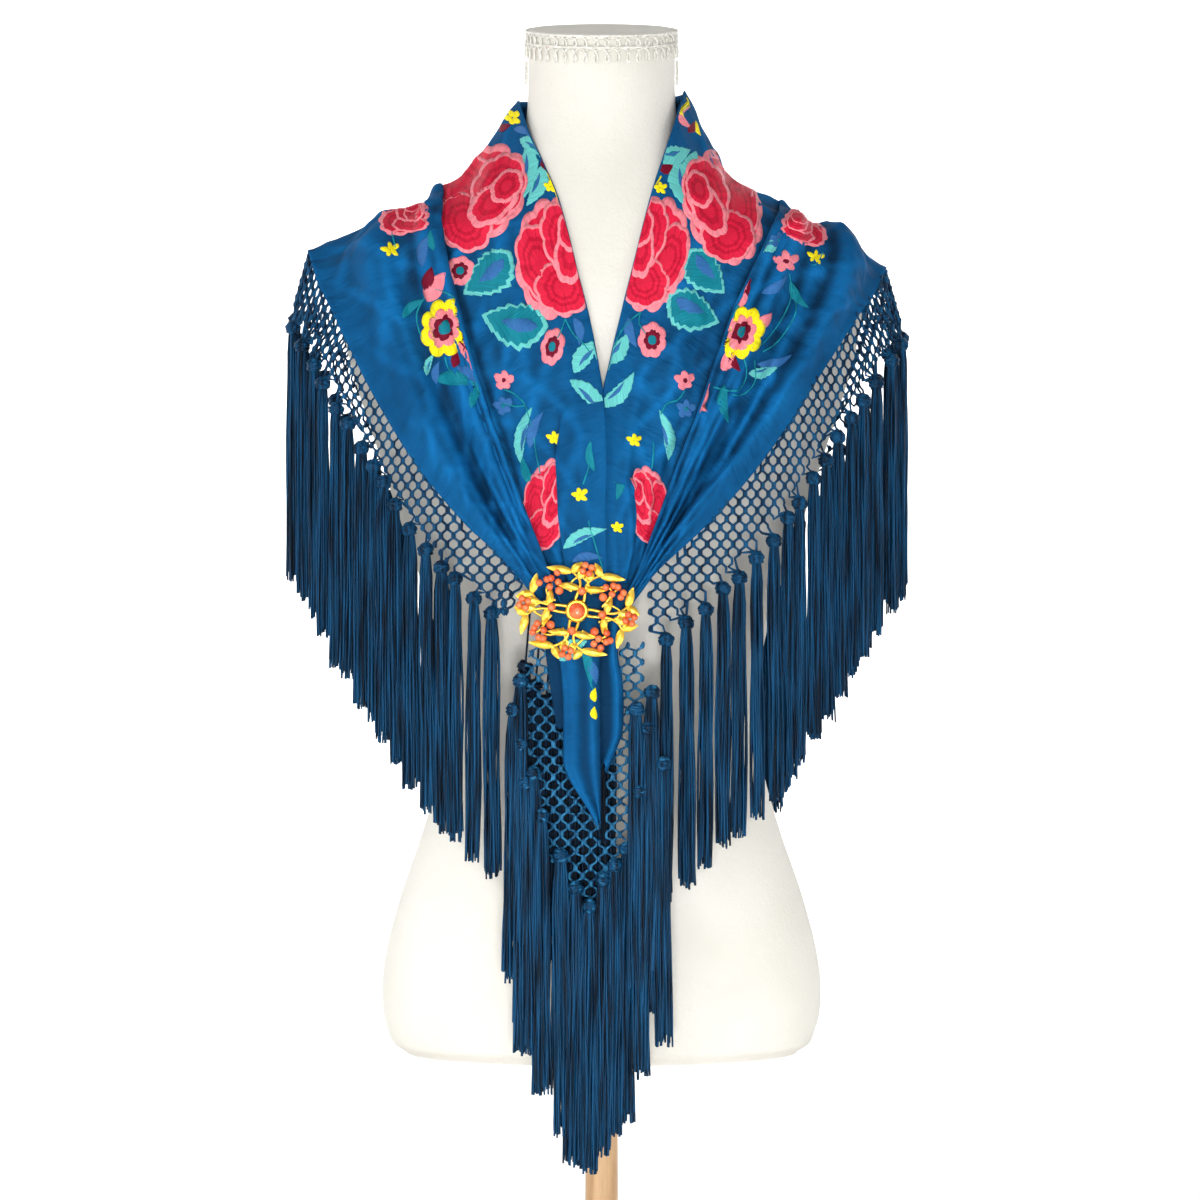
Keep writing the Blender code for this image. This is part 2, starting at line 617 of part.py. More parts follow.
def make_tail():
    """The cloth's hanging ends: two lobes and the ply that returns behind them."""
    outline_wall("tail_left_lobe", TAIL_LEFT, TAIL_CLOTH_Y, CLOTH_THICK, CREPE)
    outline_wall("tail_right_lobe", TAIL_RIGHT, TAIL_CLOTH_Y, CLOTH_THICK, CREPE)
    outline_wall("tail_under_ply", TAIL_UNDER, TAIL_UNDER_Y, CLOTH_THICK, CREPE)


# ---------------------------------------------------------------- net and fringe
HALF_BACK = len(BACK_STATIONS) // 2
APEX_GAP = 0.02          # gap between the two back nets at the apex, in rows
LEFT_BACK_STATIONS = np.append(BACK_STATIONS[:HALF_BACK], CENTRE_BACK - APEX_GAP)
RIGHT_BACK_STATIONS = np.insert(BACK_STATIONS[HALF_BACK + 1:], 0, CENTRE_BACK + APEX_GAP)
STRETCHES = (
    ("left_front", FRONT_STEPS, PLY_LIFT),
    ("left_back", LEFT_BACK_STATIONS, BACK_PLIES * PLY_LIFT),
    ("right_back", RIGHT_BACK_STATIONS, BACK_PLIES * PLY_LIFT),
    ("right_front", LAST_ROW - FRONT_STEPS[::-1], PLY_LIFT),
)
NET_COLUMNS = 4


def make_net_and_fringe():
    """The knotted net along the hem, and the tassels below it as plain walls."""
    for name, rows, lift in STRETCHES:
        hem = shawl_points(rows, np.ones_like(rows), lift)
        knot = smooth_at(KNOT_LINE, rows)
        run = knot - hem
        run /= np.linalg.norm(run, axis=1, keepdims=True)
        top = hem + run * SEAM
        across = np.linspace(0, 1, NET_COLUMNS)[None, :, None]
        grid = top[:, None] * (1 - across) + knot[:, None] * across
        wall(f"{name}_net", grid, NET_THICK, SILK)
        drops = np.array((TASSEL_GAP, FRINGE_DROP / 2, FRINGE_DROP))[None, :, None]
        hang = knot[:, None] - drops * np.array((0.0, 0.0, 1.0))
        wall(f"{name}_fringe", hang, FRINGE_THICK, SILK)
    outline_wall("tail_left_net", TAIL_NET_LEFT, TAIL_NET_Y, NET_THICK, SILK)
    outline_wall("tail_right_net", TAIL_NET_RIGHT, TAIL_NET_Y, NET_THICK, SILK)
    tail_fringes = (
        ("tail_left_fringe", TAIL_FRINGE_LEFT, TAIL_FRINGE_Y),
        ("tail_middle_fringe", TAIL_FRINGE_MIDDLE, TAIL_FRINGE_Y),
        ("tail_right_fringe", TAIL_FRINGE_RIGHT, TAIL_FRINGE_RIGHT_Y),
    )
    for name, outline, depth in tail_fringes:
        outline_wall(name, outline, depth, TAIL_FRINGE_THICK, SILK)


# ---------------------------------------------------------------- the brooch
BROOCH_SPRAYS = 8        # leaf sprays round the rim, each with a window in the plate
LOBE_DEPTH = 0.07        # how far the rim swells at each spray, as a share of its reach
WINDOW_REACH = 0.56      # middle of a window, as a share of the brooch's half sizes
WINDOW_HALF = 0.20
WINDOW_TURN = 0.24       # half angle of a window, in radians
BEZEL_FLOOR = 0.002      # floor of the bezel below the stone
BEAD_REACH = 0.90


def flat_outline(name, loops, thickness, coat, place):
    """A plate standing upright in the XZ plane, with windows where loops lie inside."""
    data = bpy.data.curves.new(name, "CURVE")
    data.dimensions = "2D"
    data.fill_mode = "BOTH"
    data.extrude = thickness / 2
    for loop in loops:
        spline = data.splines.new("POLY")
        spline.points.add(len(loop) - 1)
        spline.use_cyclic_u = True
        for point, (x, z) in zip(spline.points, loop):
            point.co = (x, z, 0.0, 1.0)
    obj = add_object(name, data, coat)
    obj.rotation_euler = (math.pi / 2, 0, 0)
    obj.location = place
    return obj


def brooch_rim(scale):
    """The lobed outline of the brooch, scaled about its centre."""
    points = []
    for step in range(64):
        angle = 2 * math.pi * step / 64
        lobe = 1 + LOBE_DEPTH * math.cos(BROOCH_SPRAYS * angle)
        x = BROOCH_HALF_WIDTH * scale * lobe * math.cos(angle)
        z = BROOCH_HALF_HEIGHT * scale * lobe * math.sin(angle)
        points.append((x, z))
    return points


def brooch_window(number):
    """A leaf-shaped window between two stems."""
    middle = 2 * math.pi * (number + 0.5) / BROOCH_SPRAYS
    points = []
    for step in range(10):
        turn = 2 * math.pi * step / 10
        reach = WINDOW_REACH + WINDOW_HALF * math.cos(turn)
        angle = middle + WINDOW_TURN * math.sin(turn)
        x = BROOCH_HALF_WIDTH * reach * math.cos(angle)
        z = BROOCH_HALF_HEIGHT * reach * math.sin(angle)
        points.append((x, z))
    return points


def make_brooch():
    front = BROOCH_BACK_Y - BROOCH_PLATE
    loops = [brooch_rim(1.0)] + [brooch_window(n) for n in range(BROOCH_SPRAYS)]
    middle = (BROOCH_X, BROOCH_BACK_Y - BROOCH_PLATE / 2, BROOCH_Z)
    flat_outline("brooch_sprays", loops, BROOCH_PLATE, GOLD, middle)
    forward = (math.pi / 2, 0, 0)
    seat = (BROOCH_X, front - SEAT, BROOCH_Z)
    bezel = (
        (0.0, BEZEL_FLOOR), (STONE_RADIUS + 0.0008, BEZEL_FLOOR),
        (STONE_RADIUS + 0.0012, BEZEL_FLOOR + 0.0012), (BEZEL_RADIUS - 0.001, BEZEL_FLOOR + 0.0012),
        (BEZEL_RADIUS, 0.0015), (BEZEL_RADIUS, 0.0), (0.0, 0.0),
    )
    turned("brooch_bezel", bezel, GOLD, sides=24, place=seat, tilt=forward)
    dome = [(STONE_RADIUS * math.sin(a), 0.0005 + 0.004 * math.cos(a))
            for a in np.linspace(0, math.pi / 2, 6)]
    dome += [(STONE_RADIUS, 0.0), (0.0, 0.0)]
    stone_seat = (BROOCH_X, front - 2 * SEAT - BEZEL_FLOOR, BROOCH_Z)
    turned("brooch_stone", dome, CORAL, sides=24, place=stone_seat, tilt=forward)
    for number in range(BROOCH_SPRAYS):
        angle = 2 * math.pi * number / BROOCH_SPRAYS
        bm = bmesh.new()
        bmesh.ops.create_uvsphere(bm, u_segments=10, v_segments=6, radius=BEAD_RADIUS)
        obj = mesh_object(f"brooch_beads_{number + 1}", bm, CORAL)
        obj.location = (
            BROOCH_X + BEAD_REACH * BROOCH_HALF_WIDTH * math.cos(angle),
            front - SEAT - BEAD_RADIUS,
            BROOCH_Z + BEAD_REACH * BROOCH_HALF_HEIGHT * math.sin(angle),
        )


make_form()
make_neck_braid()
make_stand()
make_front("left", LEFT_ROWS, lambda steps: steps)
make_front("right", RIGHT_ROWS, lambda steps: LAST_ROW - steps)
make_back()
make_tail()
make_net_and_fringe()
make_brooch()
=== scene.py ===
"""Looks of a triangular flamenco shawl, draped on a limbless dress form and pinned with a brooch.

Metres, +Z up. The form faces -Y and stands on its round base at Z = 0. "Left" is the -X side.
The shawl is one sheet of crepe with its pleats, satin-stitch flowers, a knotted net and a
tassel fringe. The cloth follows the same sections and rows as its solids.
"""

import math
import random

import bmesh
import bpy
import numpy as np
from mathutils import Matrix, Vector
from mathutils.bvhtree import BVHTree


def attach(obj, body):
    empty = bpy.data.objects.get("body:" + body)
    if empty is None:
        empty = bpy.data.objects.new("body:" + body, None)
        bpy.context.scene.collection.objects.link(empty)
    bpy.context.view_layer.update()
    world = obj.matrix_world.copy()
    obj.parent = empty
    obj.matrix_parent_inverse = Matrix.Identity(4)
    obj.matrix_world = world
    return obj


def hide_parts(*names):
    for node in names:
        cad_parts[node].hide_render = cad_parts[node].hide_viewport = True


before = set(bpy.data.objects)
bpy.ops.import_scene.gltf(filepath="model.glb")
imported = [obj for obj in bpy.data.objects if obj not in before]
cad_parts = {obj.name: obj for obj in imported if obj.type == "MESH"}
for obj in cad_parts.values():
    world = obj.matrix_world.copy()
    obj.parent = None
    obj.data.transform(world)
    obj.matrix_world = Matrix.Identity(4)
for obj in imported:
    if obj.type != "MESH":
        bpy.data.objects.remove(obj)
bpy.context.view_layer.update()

# ---------------------------------------------------------------- sizes
CLOTH_SHELL = 0.0007     # thickness of the crepe
PLY_LIFT = 0.0029        # from one ply to the ply under it
FORM_CLEAR = 0.0024      # middle of the cloth to the form
FORM_MIDDLE = 0.70       # height of a point that lies well inside the form
HEM_ROLL = 0.0005        # how far the hem stands up
FRINGE_DROP = 0.193      # length of a tassel below its knot
NECK_TOP = 1.019
NECK_TILT = math.radians(13.5)
NECK_RADIUS = 0.0565
CAP_THICK = 0.003
BRAID_HEIGHT = 0.023
BACK_NECK_RADIUS = 0.0645
BACK_NECK_RISE = 0.010
RIGHT_RISE_SHARE = 0.2   # share of that rise on the right, whose shoulder row starts higher
BROOCH_X, BROOCH_Z = -0.018, 0.571
BROOCH_FRONT_Y = -0.1438
EYE = Vector((-0.0012, -2.6, 0.579))
EYE_LENS = 101.3

# Form sections: height, half width, front depth, back depth, squareness of the outline.
FORM_SECTIONS = (
    (0.232, 0.150, 0.088, 0.100, 2.2), (0.240, 0.161, 0.095, 0.108, 2.2),
    (0.265, 0.168, 0.099, 0.113, 2.2), (0.300, 0.167, 0.100, 0.114, 2.2),
    (0.350, 0.155, 0.097, 0.108, 2.2), (0.400, 0.138, 0.092, 0.099, 2.2),
    (0.450, 0.124, 0.087, 0.091, 2.1), (0.500, 0.119, 0.085, 0.088, 2.1),
    (0.550, 0.126, 0.089, 0.092, 2.1), (0.600, 0.141, 0.097, 0.098, 2.2),
    (0.650, 0.158, 0.110, 0.104, 2.2), (0.700, 0.174, 0.117, 0.109, 2.2),
    (0.750, 0.190, 0.111, 0.112, 2.2), (0.790, 0.199, 0.101, 0.111, 2.2),
    (0.820, 0.201, 0.093, 0.107, 2.2), (0.838, 0.196, 0.088, 0.102, 2.2),
    (0.850, 0.184, 0.084, 0.097, 2.2), (0.862, 0.164, 0.080, 0.092, 2.1),
    (0.874, 0.138, 0.076, 0.086, 2.05), (0.886, 0.114, 0.072, 0.080, 2.0),
    (0.900, 0.091, 0.067, 0.073, 2.0), (0.916, 0.073, 0.062, 0.066, 2.0),
    (0.936, 0.061, 0.058, 0.060, 2.0), (0.960, 0.057, 0.0565, 0.057, 2.0),
)

# Rows of the shawl from the brooch up over a shoulder: neck edge, hem, knots below the net,
# and the shares of the row where the centre band and the hem-side ply have their folds.
LEFT_ROWS = (
    ((0.003, -0.138, 0.592), (-0.058, -0.133, 0.592), (-0.073, -0.134, 0.560), 0.45, 0.62),
    ((0.003, -0.134, 0.652), (-0.077, -0.127, 0.613), (-0.090, -0.129, 0.578), 0.37, 0.60),
    ((0.003, -0.129, 0.696), (-0.097, -0.121, 0.631), (-0.109, -0.124, 0.594), 0.29, 0.58),
    ((0.000, -0.122, 0.736), (-0.122, -0.112, 0.659), (-0.140, -0.112, 0.630), 0.20, 0.56),
    ((-0.008, -0.106, 0.783), (-0.146, -0.098, 0.692), (-0.166, -0.095, 0.672), 0.00, 0.53),
    ((-0.018, -0.094, 0.824), (-0.174, -0.078, 0.739), (-0.196, -0.072, 0.720), 0.00, 0.50),
    ((-0.033, -0.073, 0.882), (-0.199, -0.055, 0.788), (-0.220, -0.046, 0.760), 0.00, 0.47),
    ((-0.055, -0.036, 0.934), (-0.215, -0.028, 0.819), (-0.233, -0.024, 0.780), 0.00, 0.44),
    ((-0.063, 0.000, 0.962), (-0.225, 0.000, 0.845), (-0.238, 0.000, 0.798), 0.00, 0.42),
)
RIGHT_ROWS = (
    ((0.0045, -0.1365, 0.592), (0.034, -0.132, 0.592), (0.039, -0.134, 0.545), 0.45, 0.60),
    ((0.0045, -0.134, 0.640), (0.049, -0.129, 0.607), (0.057, -0.131, 0.558), 0.33, 0.56),
    ((0.0045, -0.129, 0.690), (0.078, -0.121, 0.634), (0.086, -0.125, 0.583), 0.20, 0.53),
    ((0.003, -0.122, 0.736), (0.108, -0.109, 0.668), (0.118, -0.114, 0.614), 0.00, 0.52),
    ((0.013, -0.106, 0.785), (0.138, -0.093, 0.709), (0.149, -0.098, 0.655), 0.00, 0.50),
    ((0.023, -0.094, 0.826), (0.164, -0.074, 0.750), (0.178, -0.077, 0.703), 0.00, 0.49),
    ((0.038, -0.071, 0.886), (0.190, -0.051, 0.789), (0.207, -0.050, 0.744), 0.00, 0.51),
    ((0.056, -0.036, 0.942), (0.206, -0.027, 0.812), (0.226, -0.025, 0.767), 0.00, 0.54),
    ((0.063, 0.000, 0.970), (0.218, 0.000, 0.832), (0.233, 0.000, 0.782), 0.00, 0.56),
)
LEFT_SHOULDER_LINE = (
    (-0.063, 0.962), (-0.072, 0.953), (-0.080, 0.938), (-0.092, 0.918), (-0.109, 0.903),
    (-0.127, 0.892), (-0.146, 0.878), (-0.174, 0.866), (-0.199, 0.856), (-0.225, 0.845),
)
RIGHT_SHOULDER_LINE = (
    (0.063, 0.970), (0.071, 0.957), (0.080, 0.932), (0.093, 0.908), (0.112, 0.896),
    (0.129, 0.888), (0.146, 0.873), (0.168, 0.861), (0.192, 0.848), (0.218, 0.832),
)
# The back, from next to the shoulder to the centre, as on the -X side: hem, knots.
BACK_ROWS = (
    ((-0.211, 0.045, 0.812), (-0.227, 0.050, 0.772)),
    ((-0.193, 0.082, 0.768), (-0.208, 0.090, 0.733)),
    ((-0.163, 0.108, 0.708), (-0.177, 0.118, 0.672)),
    ((-0.128, 0.127, 0.640), (-0.140, 0.139, 0.600)),
    ((-0.086, 0.140, 0.562), (-0.096, 0.153, 0.516)),
    ((-0.043, 0.147, 0.484), (-0.050, 0.160, 0.430)),
    ((0.000, 0.150, 0.415), (0.000, 0.163, 0.350)),
)

# Rolled folds of the fronts: side, share of the row at the brooch, half way and at the
# shoulder, half widths towards the neck and the hem, height, first and last row.
FOLD_STRENGTH = 2.9
SHOULDER_FLATTENING = 0.45       # share of a fold's height lost towards the shoulder
FLATTER_ROWS = (6.2, 8.4)        # rows from the brooch over which it is lost
FRONT_FOLDS = (
    ("left", 0.80, 0.72, 0.50, 0.044, 0.060, -0.0034, 1.0, 9.0),
    ("left", 0.70, 0.63, 0.45, 0.030, 0.060, 0.0020, 0.5, 9.5),
    ("left", 0.91, 0.86, 0.66, 0.045, 0.080, 0.0026, 0.5, 10.0),
    ("left", 0.52, 0.30, 0.22, 0.040, 0.060, 0.0014, 2.5, 9.0),
    ("left", 0.56, 0.42, 0.34, 0.030, 0.040, -0.0012, 1.5, 8.0),
    ("left", 0.74, 0.71, 0.60, 0.016, 0.024, 0.0016, 0.0, 3.4),
    ("left", 0.85, 0.82, 0.74, 0.015, 0.026, 0.0015, 0.0, 2.8),
    ("left", 0.66, 0.53, 0.48, 0.010, 0.028, 0.0016, 1.2, 7.2),
    ("left", 0.72, 0.60, 0.56, 0.014, 0.030, 0.0013, 0.8, 5.6),
    ("left", 0.88, 0.79, 0.62, 0.020, 0.036, 0.0014, 1.6, 8.0),
    ("left", 0.12, 0.14, 0.18, 0.030, 0.040, 0.0008, 0.6, 8.5),
    ("right", 0.76, 0.87, 0.74, 0.026, 0.110, 0.0046, 0.8, 9.6),
    ("right", 0.66, 0.72, 0.64, 0.030, 0.060, -0.0022, 1.4, 8.6),
    ("right", 0.66, 0.60, 0.62, 0.022, 0.045, 0.0030, 0.3, 8.4),
    ("right", 0.50, 0.30, 0.24, 0.040, 0.060, 0.0014, 2.5, 9.0),
    ("right", 0.54, 0.42, 0.40, 0.030, 0.040, -0.0012, 1.5, 8.0),
    ("right", 0.72, 0.70, 0.70, 0.018, 0.020, 0.0022, 0.0, 3.2),
    ("right", 0.82, 0.80, 0.80, 0.018, 0.022, 0.0020, 0.0, 2.6),
    ("right", 0.91, 0.90, 0.90, 0.018, 0.022, 0.0017, 0.0, 2.2),
    ("right", 0.64, 0.55, 0.54, 0.010, 0.026, 0.0017, 1.2, 7.0),
    ("right", 0.74, 0.64, 0.60, 0.014, 0.030, 0.0015, 0.6, 6.2),
    ("right", 0.86, 0.78, 0.68, 0.018, 0.034, 0.0015, 1.0, 7.6),
    ("right", 0.14, 0.16, 0.18, 0.030, 0.040, 0.0008, 0.6, 8.5),
)
# Faint wrinkles all over: lean in rows across the sheet, pitch in rows, phase, height.
WRINKLES = ((5.0, 1.35, 0.3, 0.0017), (-3.6, 1.05, 2.0, 0.0013), (1.2, 0.62, 4.1, 0.0008))
# Shares of a row over which the wrinkles, and the hem's roll, come in and go out.
WRINKLED_SHARES = ((0.03, 0.2), (0.86, 0.97))
HEM_SHARES = ((0.978, 0.984), (1.02, 1.03))
BACK_STRENGTH = 0.7
# Folds of the back that hang from the shoulders and neck: row at the neck edge and at the
# hem, half width in rows, height, share where they start.
BACK_FOLDS = (
    (9.3, 9.7, 0.35, 0.0040, 0.25), (10.6, 10.9, 0.45, -0.0020, 0.15),
    (11.2, 12.1, 0.40, 0.0055, 0.12), (12.8, 13.3, 0.55, -0.0022, 0.20),
    (13.6, 14.3, 0.38, 0.0048, 0.10), (15.3, 15.1, 0.42, 0.0060, 0.16),
    (16.6, 16.2, 0.40, 0.0036, 0.24), (17.6, 17.4, 0.55, -0.0020, 0.12),
    (18.6, 18.1, 0.42, 0.0056, 0.10), (20.3, 19.9, 0.40, 0.0042, 0.22),
)

# The hanging ends below the brooch, as outlines: height, left edge, right edge.
TAIL_LEFT = (
    (0.5912, -0.040, -0.0005), (0.564, -0.036, -0.0010), (0.539, -0.031, -0.0015),
    (0.506, -0.028, -0.0015), (0.473, -0.028, -0.0010), (0.457, -0.027, -0.0008),
    (0.441, -0.019, -0.0008), (0.427, -0.009, -0.0008), (0.419, -0.0035, -0.0010),
)
TAIL_RIGHT = (
    (0.5912, 0.0003, 0.020), (0.564, -0.0002, 0.014), (0.539, -0.0007, 0.012),
    (0.517, -0.0007, 0.0155), (0.486, -0.0002, 0.0155), (0.471, 0.0000, 0.0106),
    (0.457, 0.0000, 0.0035),
)
TAIL_UNDER = (
    (0.588, -0.043, -0.010), (0.560, -0.042, -0.011), (0.533, -0.040, -0.012),
    (0.506, -0.036, -0.012), (0.489, -0.033, -0.014),
)
TAIL_NET_LEFT = (
    (0.546, -0.053, -0.030), (0.506, -0.056, -0.027), (0.463, -0.052, -0.020),
    (0.434, -0.045, -0.008), (0.397, -0.039, 0.002), (0.361, -0.030, 0.003),
    (0.334, -0.026, -0.004),
)
TAIL_NET_RIGHT = (
    (0.546, 0.014, 0.028), (0.506, 0.010, 0.028), (0.463, 0.004, 0.026),
    (0.420, 0.004, 0.020), (0.388, 0.004, 0.013),
)
TAIL_CLOTH_Y = -0.1405
TAIL_UNDER_Y = -0.1382
TAIL_NET_Y = -0.1359
TAIL_FRINGE_Y = -0.1410
TAIL_FRINGE_RIGHT_Y = -0.1494
# Tassels of the hanging ends: x and z of the knot, depth, length below it.
TAIL_TASSELS = (
    (-0.0590, 0.5200, TAIL_FRINGE_Y, 0.196), (-0.0640, 0.4990, TAIL_FRINGE_Y, 0.200),
    (-0.0585, 0.4740, TAIL_FRINGE_Y, 0.205), (-0.0500, 0.4530, TAIL_FRINGE_Y, 0.203),
    (-0.0560, 0.4460, TAIL_FRINGE_Y, 0.199), (-0.0440, 0.4220, TAIL_FRINGE_Y, 0.205),
    (-0.0300, 0.3930, TAIL_FRINGE_Y, 0.206), (-0.0190, 0.3690, TAIL_FRINGE_Y, 0.203),
    (-0.0090, 0.3560, TAIL_FRINGE_Y, 0.196), (0.0010, 0.3750, TAIL_FRINGE_Y, 0.202),
    (0.0100, 0.3860, TAIL_FRINGE_Y, 0.199), (0.0185, 0.3980, TAIL_FRINGE_Y, 0.200),
    (0.0250, 0.5000, TAIL_FRINGE_RIGHT_Y, 0.205), (0.0365, 0.5120, TAIL_FRINGE_RIGHT_Y, 0.203),
    (0.0345, 0.4860, TAIL_FRINGE_RIGHT_Y, 0.208), (0.0450, 0.4600, TAIL_FRINGE_RIGHT_Y, 0.206),
    (0.0270, 0.4400, TAIL_FRINGE_RIGHT_Y, 0.207),
)
# The cloth's hanging ends: name, solid, outline, depth, rows and columns of points, how far
# the inner edge tucks under, length, upright folds (place, lean, half width, height).
TAIL_PLIES = (
    ("hanging_left_lobe", "tail_left_lobe", TAIL_LEFT, TAIL_CLOTH_Y, 60, 26, 0.0, 0.175,
     ((0.30, -0.05, 0.16, 0.0040), (0.78, 0.05, 0.12, 0.0030), (0.05, 0.0, 0.08, 0.0020))),
    ("hanging_right_lobe", "tail_right_lobe", TAIL_RIGHT, TAIL_CLOTH_Y, 50, 22, 0.005, 0.137,
     ((0.70, 0.06, 0.16, 0.0046), (0.20, 0.0, 0.16, -0.0012))),
    ("hanging_under_ply", "tail_under_ply", TAIL_UNDER, TAIL_UNDER_Y, 40, 18, 0.0, 0.100,
     ((0.25, 0.0, 0.12, 0.0012), (0.70, 0.0, 0.14, -0.0006))),
)


# ---------------------------------------------------------------- curves and the form
FORM_TABLE = np.array(FORM_SECTIONS)
PUSH_PASSES = 3
SLOPE_STEP = 0.0005      # step over which the slope of the distance is measured
LEAST_STEEPNESS = 0.2    # keeps a push short where the distance hardly changes


def smooth_at(values, where):
    """Catmull-Rom value at the fractional row numbers `where` of a table of values."""
    values = np.asarray(values, float)
    where = np.atleast_1d(np.asarray(where, float))
    last = len(values) - 1
    low = np.clip(np.floor(where).astype(int), 0, last - 1)
    part = (where - low).reshape((-1,) + (1,) * (values.ndim - 1))
    first = values[np.clip(low - 1, 0, last)]
    start = values[low]
    end = values[low + 1]
    after = values[np.clip(low + 2, 0, last)]
    bend = (end - first) * part
    bend = bend + (2 * first - 5 * start + 4 * end - after) * part ** 2
    bend = bend + (3 * start - first - 3 * end + after) * part ** 3
    return start + 0.5 * bend


def along_all(values, count):
    """`count` smooth values from the first row of a table to its last."""
    return smooth_at(values, np.linspace(0, len(values) - 1, count))


def ramp(low, high, value):
    """0 below low, 1 above high, smooth between them."""
    part = np.clip((np.asarray(value, float) - low) / (high - low), 0, 1)
    return part * part * (3 - 2 * part)


def inside(low, high, value):
    """1 inside a stretch that comes in over the pair low and goes out over the pair high."""
    return ramp(*low, value) * (1 - ramp(*high, value))


def bell(offset, half):
    """A bump of height 1 that has mostly gone at its half width."""
    return np.exp(-(offset / half) ** 2)


def form_section(heights):
    """Half width, front, back and power of the form at the given heights."""
    where = np.interp(heights, FORM_TABLE[:, 0], np.arange(len(FORM_TABLE)))
    return smooth_at(FORM_TABLE[:, 1:], where)


def form_distance(points):
    """Rough distance of each point outside the form's skin, negative inside."""
    points = points.reshape(-1, 3)
    half, front, back, power = form_section(points[:, 2]).T
    depth = np.where(points[:, 1] < 0, front, back)
    across = np.abs(points[:, 0]) / half
    along = np.abs(points[:, 1]) / depth
    ratio = (across ** power + along ** power + 1e-9) ** (1 / power)
    radius = np.hypot(points[:, 0], points[:, 1]) / ratio
    return (ratio - 1) * radius


def push_clear(points, clearance):
    """Move the points that are nearer than the clearance straight out of the form."""
    moved_points = points.reshape(-1, 3).copy()
    lacking = np.broadcast_to(clearance, points.shape[:-1]).reshape(-1)
    for _ in range(PUSH_PASSES):
        here = form_distance(moved_points)
        slopes = []
        for axis in range(3):
            shifted = moved_points.copy()
            shifted[:, axis] += SLOPE_STEP
            slopes.append((form_distance(shifted) - here) / SLOPE_STEP)
        slope = np.stack(slopes, axis=1)
        steepness = np.maximum((slope ** 2).sum(axis=1), LEAST_STEEPNESS)
        lack = np.maximum(lacking * np.sqrt(steepness) - here, 0.0)
        moved_points += slope * (lack / steepness)[:, None]
    return moved_points.reshape(points.shape)


# ---------------------------------------------------------------- the shawl's surface
BACK_STEPS = len(BACK_ROWS)
LEFT_SHOULDER = float(len(LEFT_ROWS) - 1)
CENTRE_BACK = LEFT_SHOULDER + BACK_STEPS
RIGHT_SHOULDER = CENTRE_BACK + BACK_STEPS
LAST_ROW = RIGHT_SHOULDER + len(RIGHT_ROWS) - 1
GRID_PER_ROW = 2
GRID_ROWS = int(LAST_ROW) * GRID_PER_ROW + 1
GRID_COLUMNS = 25
RELAX_PASSES = 400
TAUT_ACROSS = 0.75       # share of the pull that runs from neck edge to hem
FINE = 6                 # points between two of the drape's own, each way


def back_neck_point(step, side):
    """A point of the neck edge on its arc round the back of the neck."""
    angle = math.pi / 2 * (1 - step / BACK_STEPS)
    shoulder = LEFT_ROWS[-1][0] if side < 0 else RIGHT_ROWS[-1][0]
    rise = BACK_NECK_RISE * math.cos(angle) * (1.0 if side < 0 else RIGHT_RISE_SHARE)
    return (side * BACK_NECK_RADIUS * math.sin(angle), BACK_NECK_RADIUS * math.cos(angle),
            shoulder[2] + rise)


def all_rows():
    """Neck, hem and knot points of every row, from the left brooch end to the right one."""
    rows = [row[:3] for row in LEFT_ROWS]
    rows += [(back_neck_point(step, -1), *row) for step, row in enumerate(BACK_ROWS, start=1)]
    for step in range(BACK_STEPS - 1, 0, -1):
        mirrored = [(-x, y, z) for x, y, z in BACK_ROWS[step - 1]]
        rows.append((back_neck_point(step, 1), *mirrored))
    rows += [row[:3] for row in reversed(RIGHT_ROWS)]
    return np.array(rows).transpose(1, 0, 2)


NECK_LINE, HEM_LINE, KNOT_LINE = all_rows()


def shoulder_top(line):
    """Evenly spaced points of the row that lies along a shoulder's top."""
    x, z = along_all(line, 8 * len(line)).T
    run = np.concatenate([[0.0], np.cumsum(np.hypot(np.diff(x), np.diff(z)))])
    where = np.linspace(0, run[-1], GRID_COLUMNS)
    return np.stack([np.interp(where, run, x), 0 * where, np.interp(where, run, z)], axis=1)


def drape():
    """A grid stretched between neck edge and hem like a taut skin over the form."""
    rows = np.linspace(0, LAST_ROW, GRID_ROWS)
    neck = push_clear(smooth_at(NECK_LINE, rows), FORM_CLEAR)
    hem = push_clear(smooth_at(HEM_LINE, rows), FORM_CLEAR)
    share = np.linspace(0, 1, GRID_COLUMNS)[None, :, None]
    grid = neck[:, None] * (1 - share) + hem[:, None] * share
    shoulders = (
        (int(LEFT_SHOULDER) * GRID_PER_ROW, shoulder_top(LEFT_SHOULDER_LINE)),
        (int(RIGHT_SHOULDER) * GRID_PER_ROW, shoulder_top(RIGHT_SHOULDER_LINE)),
    )
    for _ in range(RELAX_PASSES):
        across = (grid[1:-1, :-2] + grid[1:-1, 2:]) / 2
        along = (grid[:-2, 1:-1] + grid[2:, 1:-1]) / 2
        grid[1:-1, 1:-1] = TAUT_ACROSS * across + (1 - TAUT_ACROSS) * along
        for row, line in shoulders:
            grid[row] = line
        grid[1:-1, 1:-1] = push_clear(grid[1:-1, 1:-1], FORM_CLEAR)
    return grid


def fine_drape():
    """The drape with smooth points between its own."""
    grid = along_all(drape(), (GRID_ROWS - 1) * FINE + 1)
    return along_all(grid.transpose(1, 0, 2), (GRID_COLUMNS - 1) * FINE + 1).transpose(1, 0, 2)


def unit(vectors):
    """Arrays of vectors, each made one long."""
    return vectors / np.maximum(np.linalg.norm(vectors, axis=-1, keepdims=True), 1e-9)


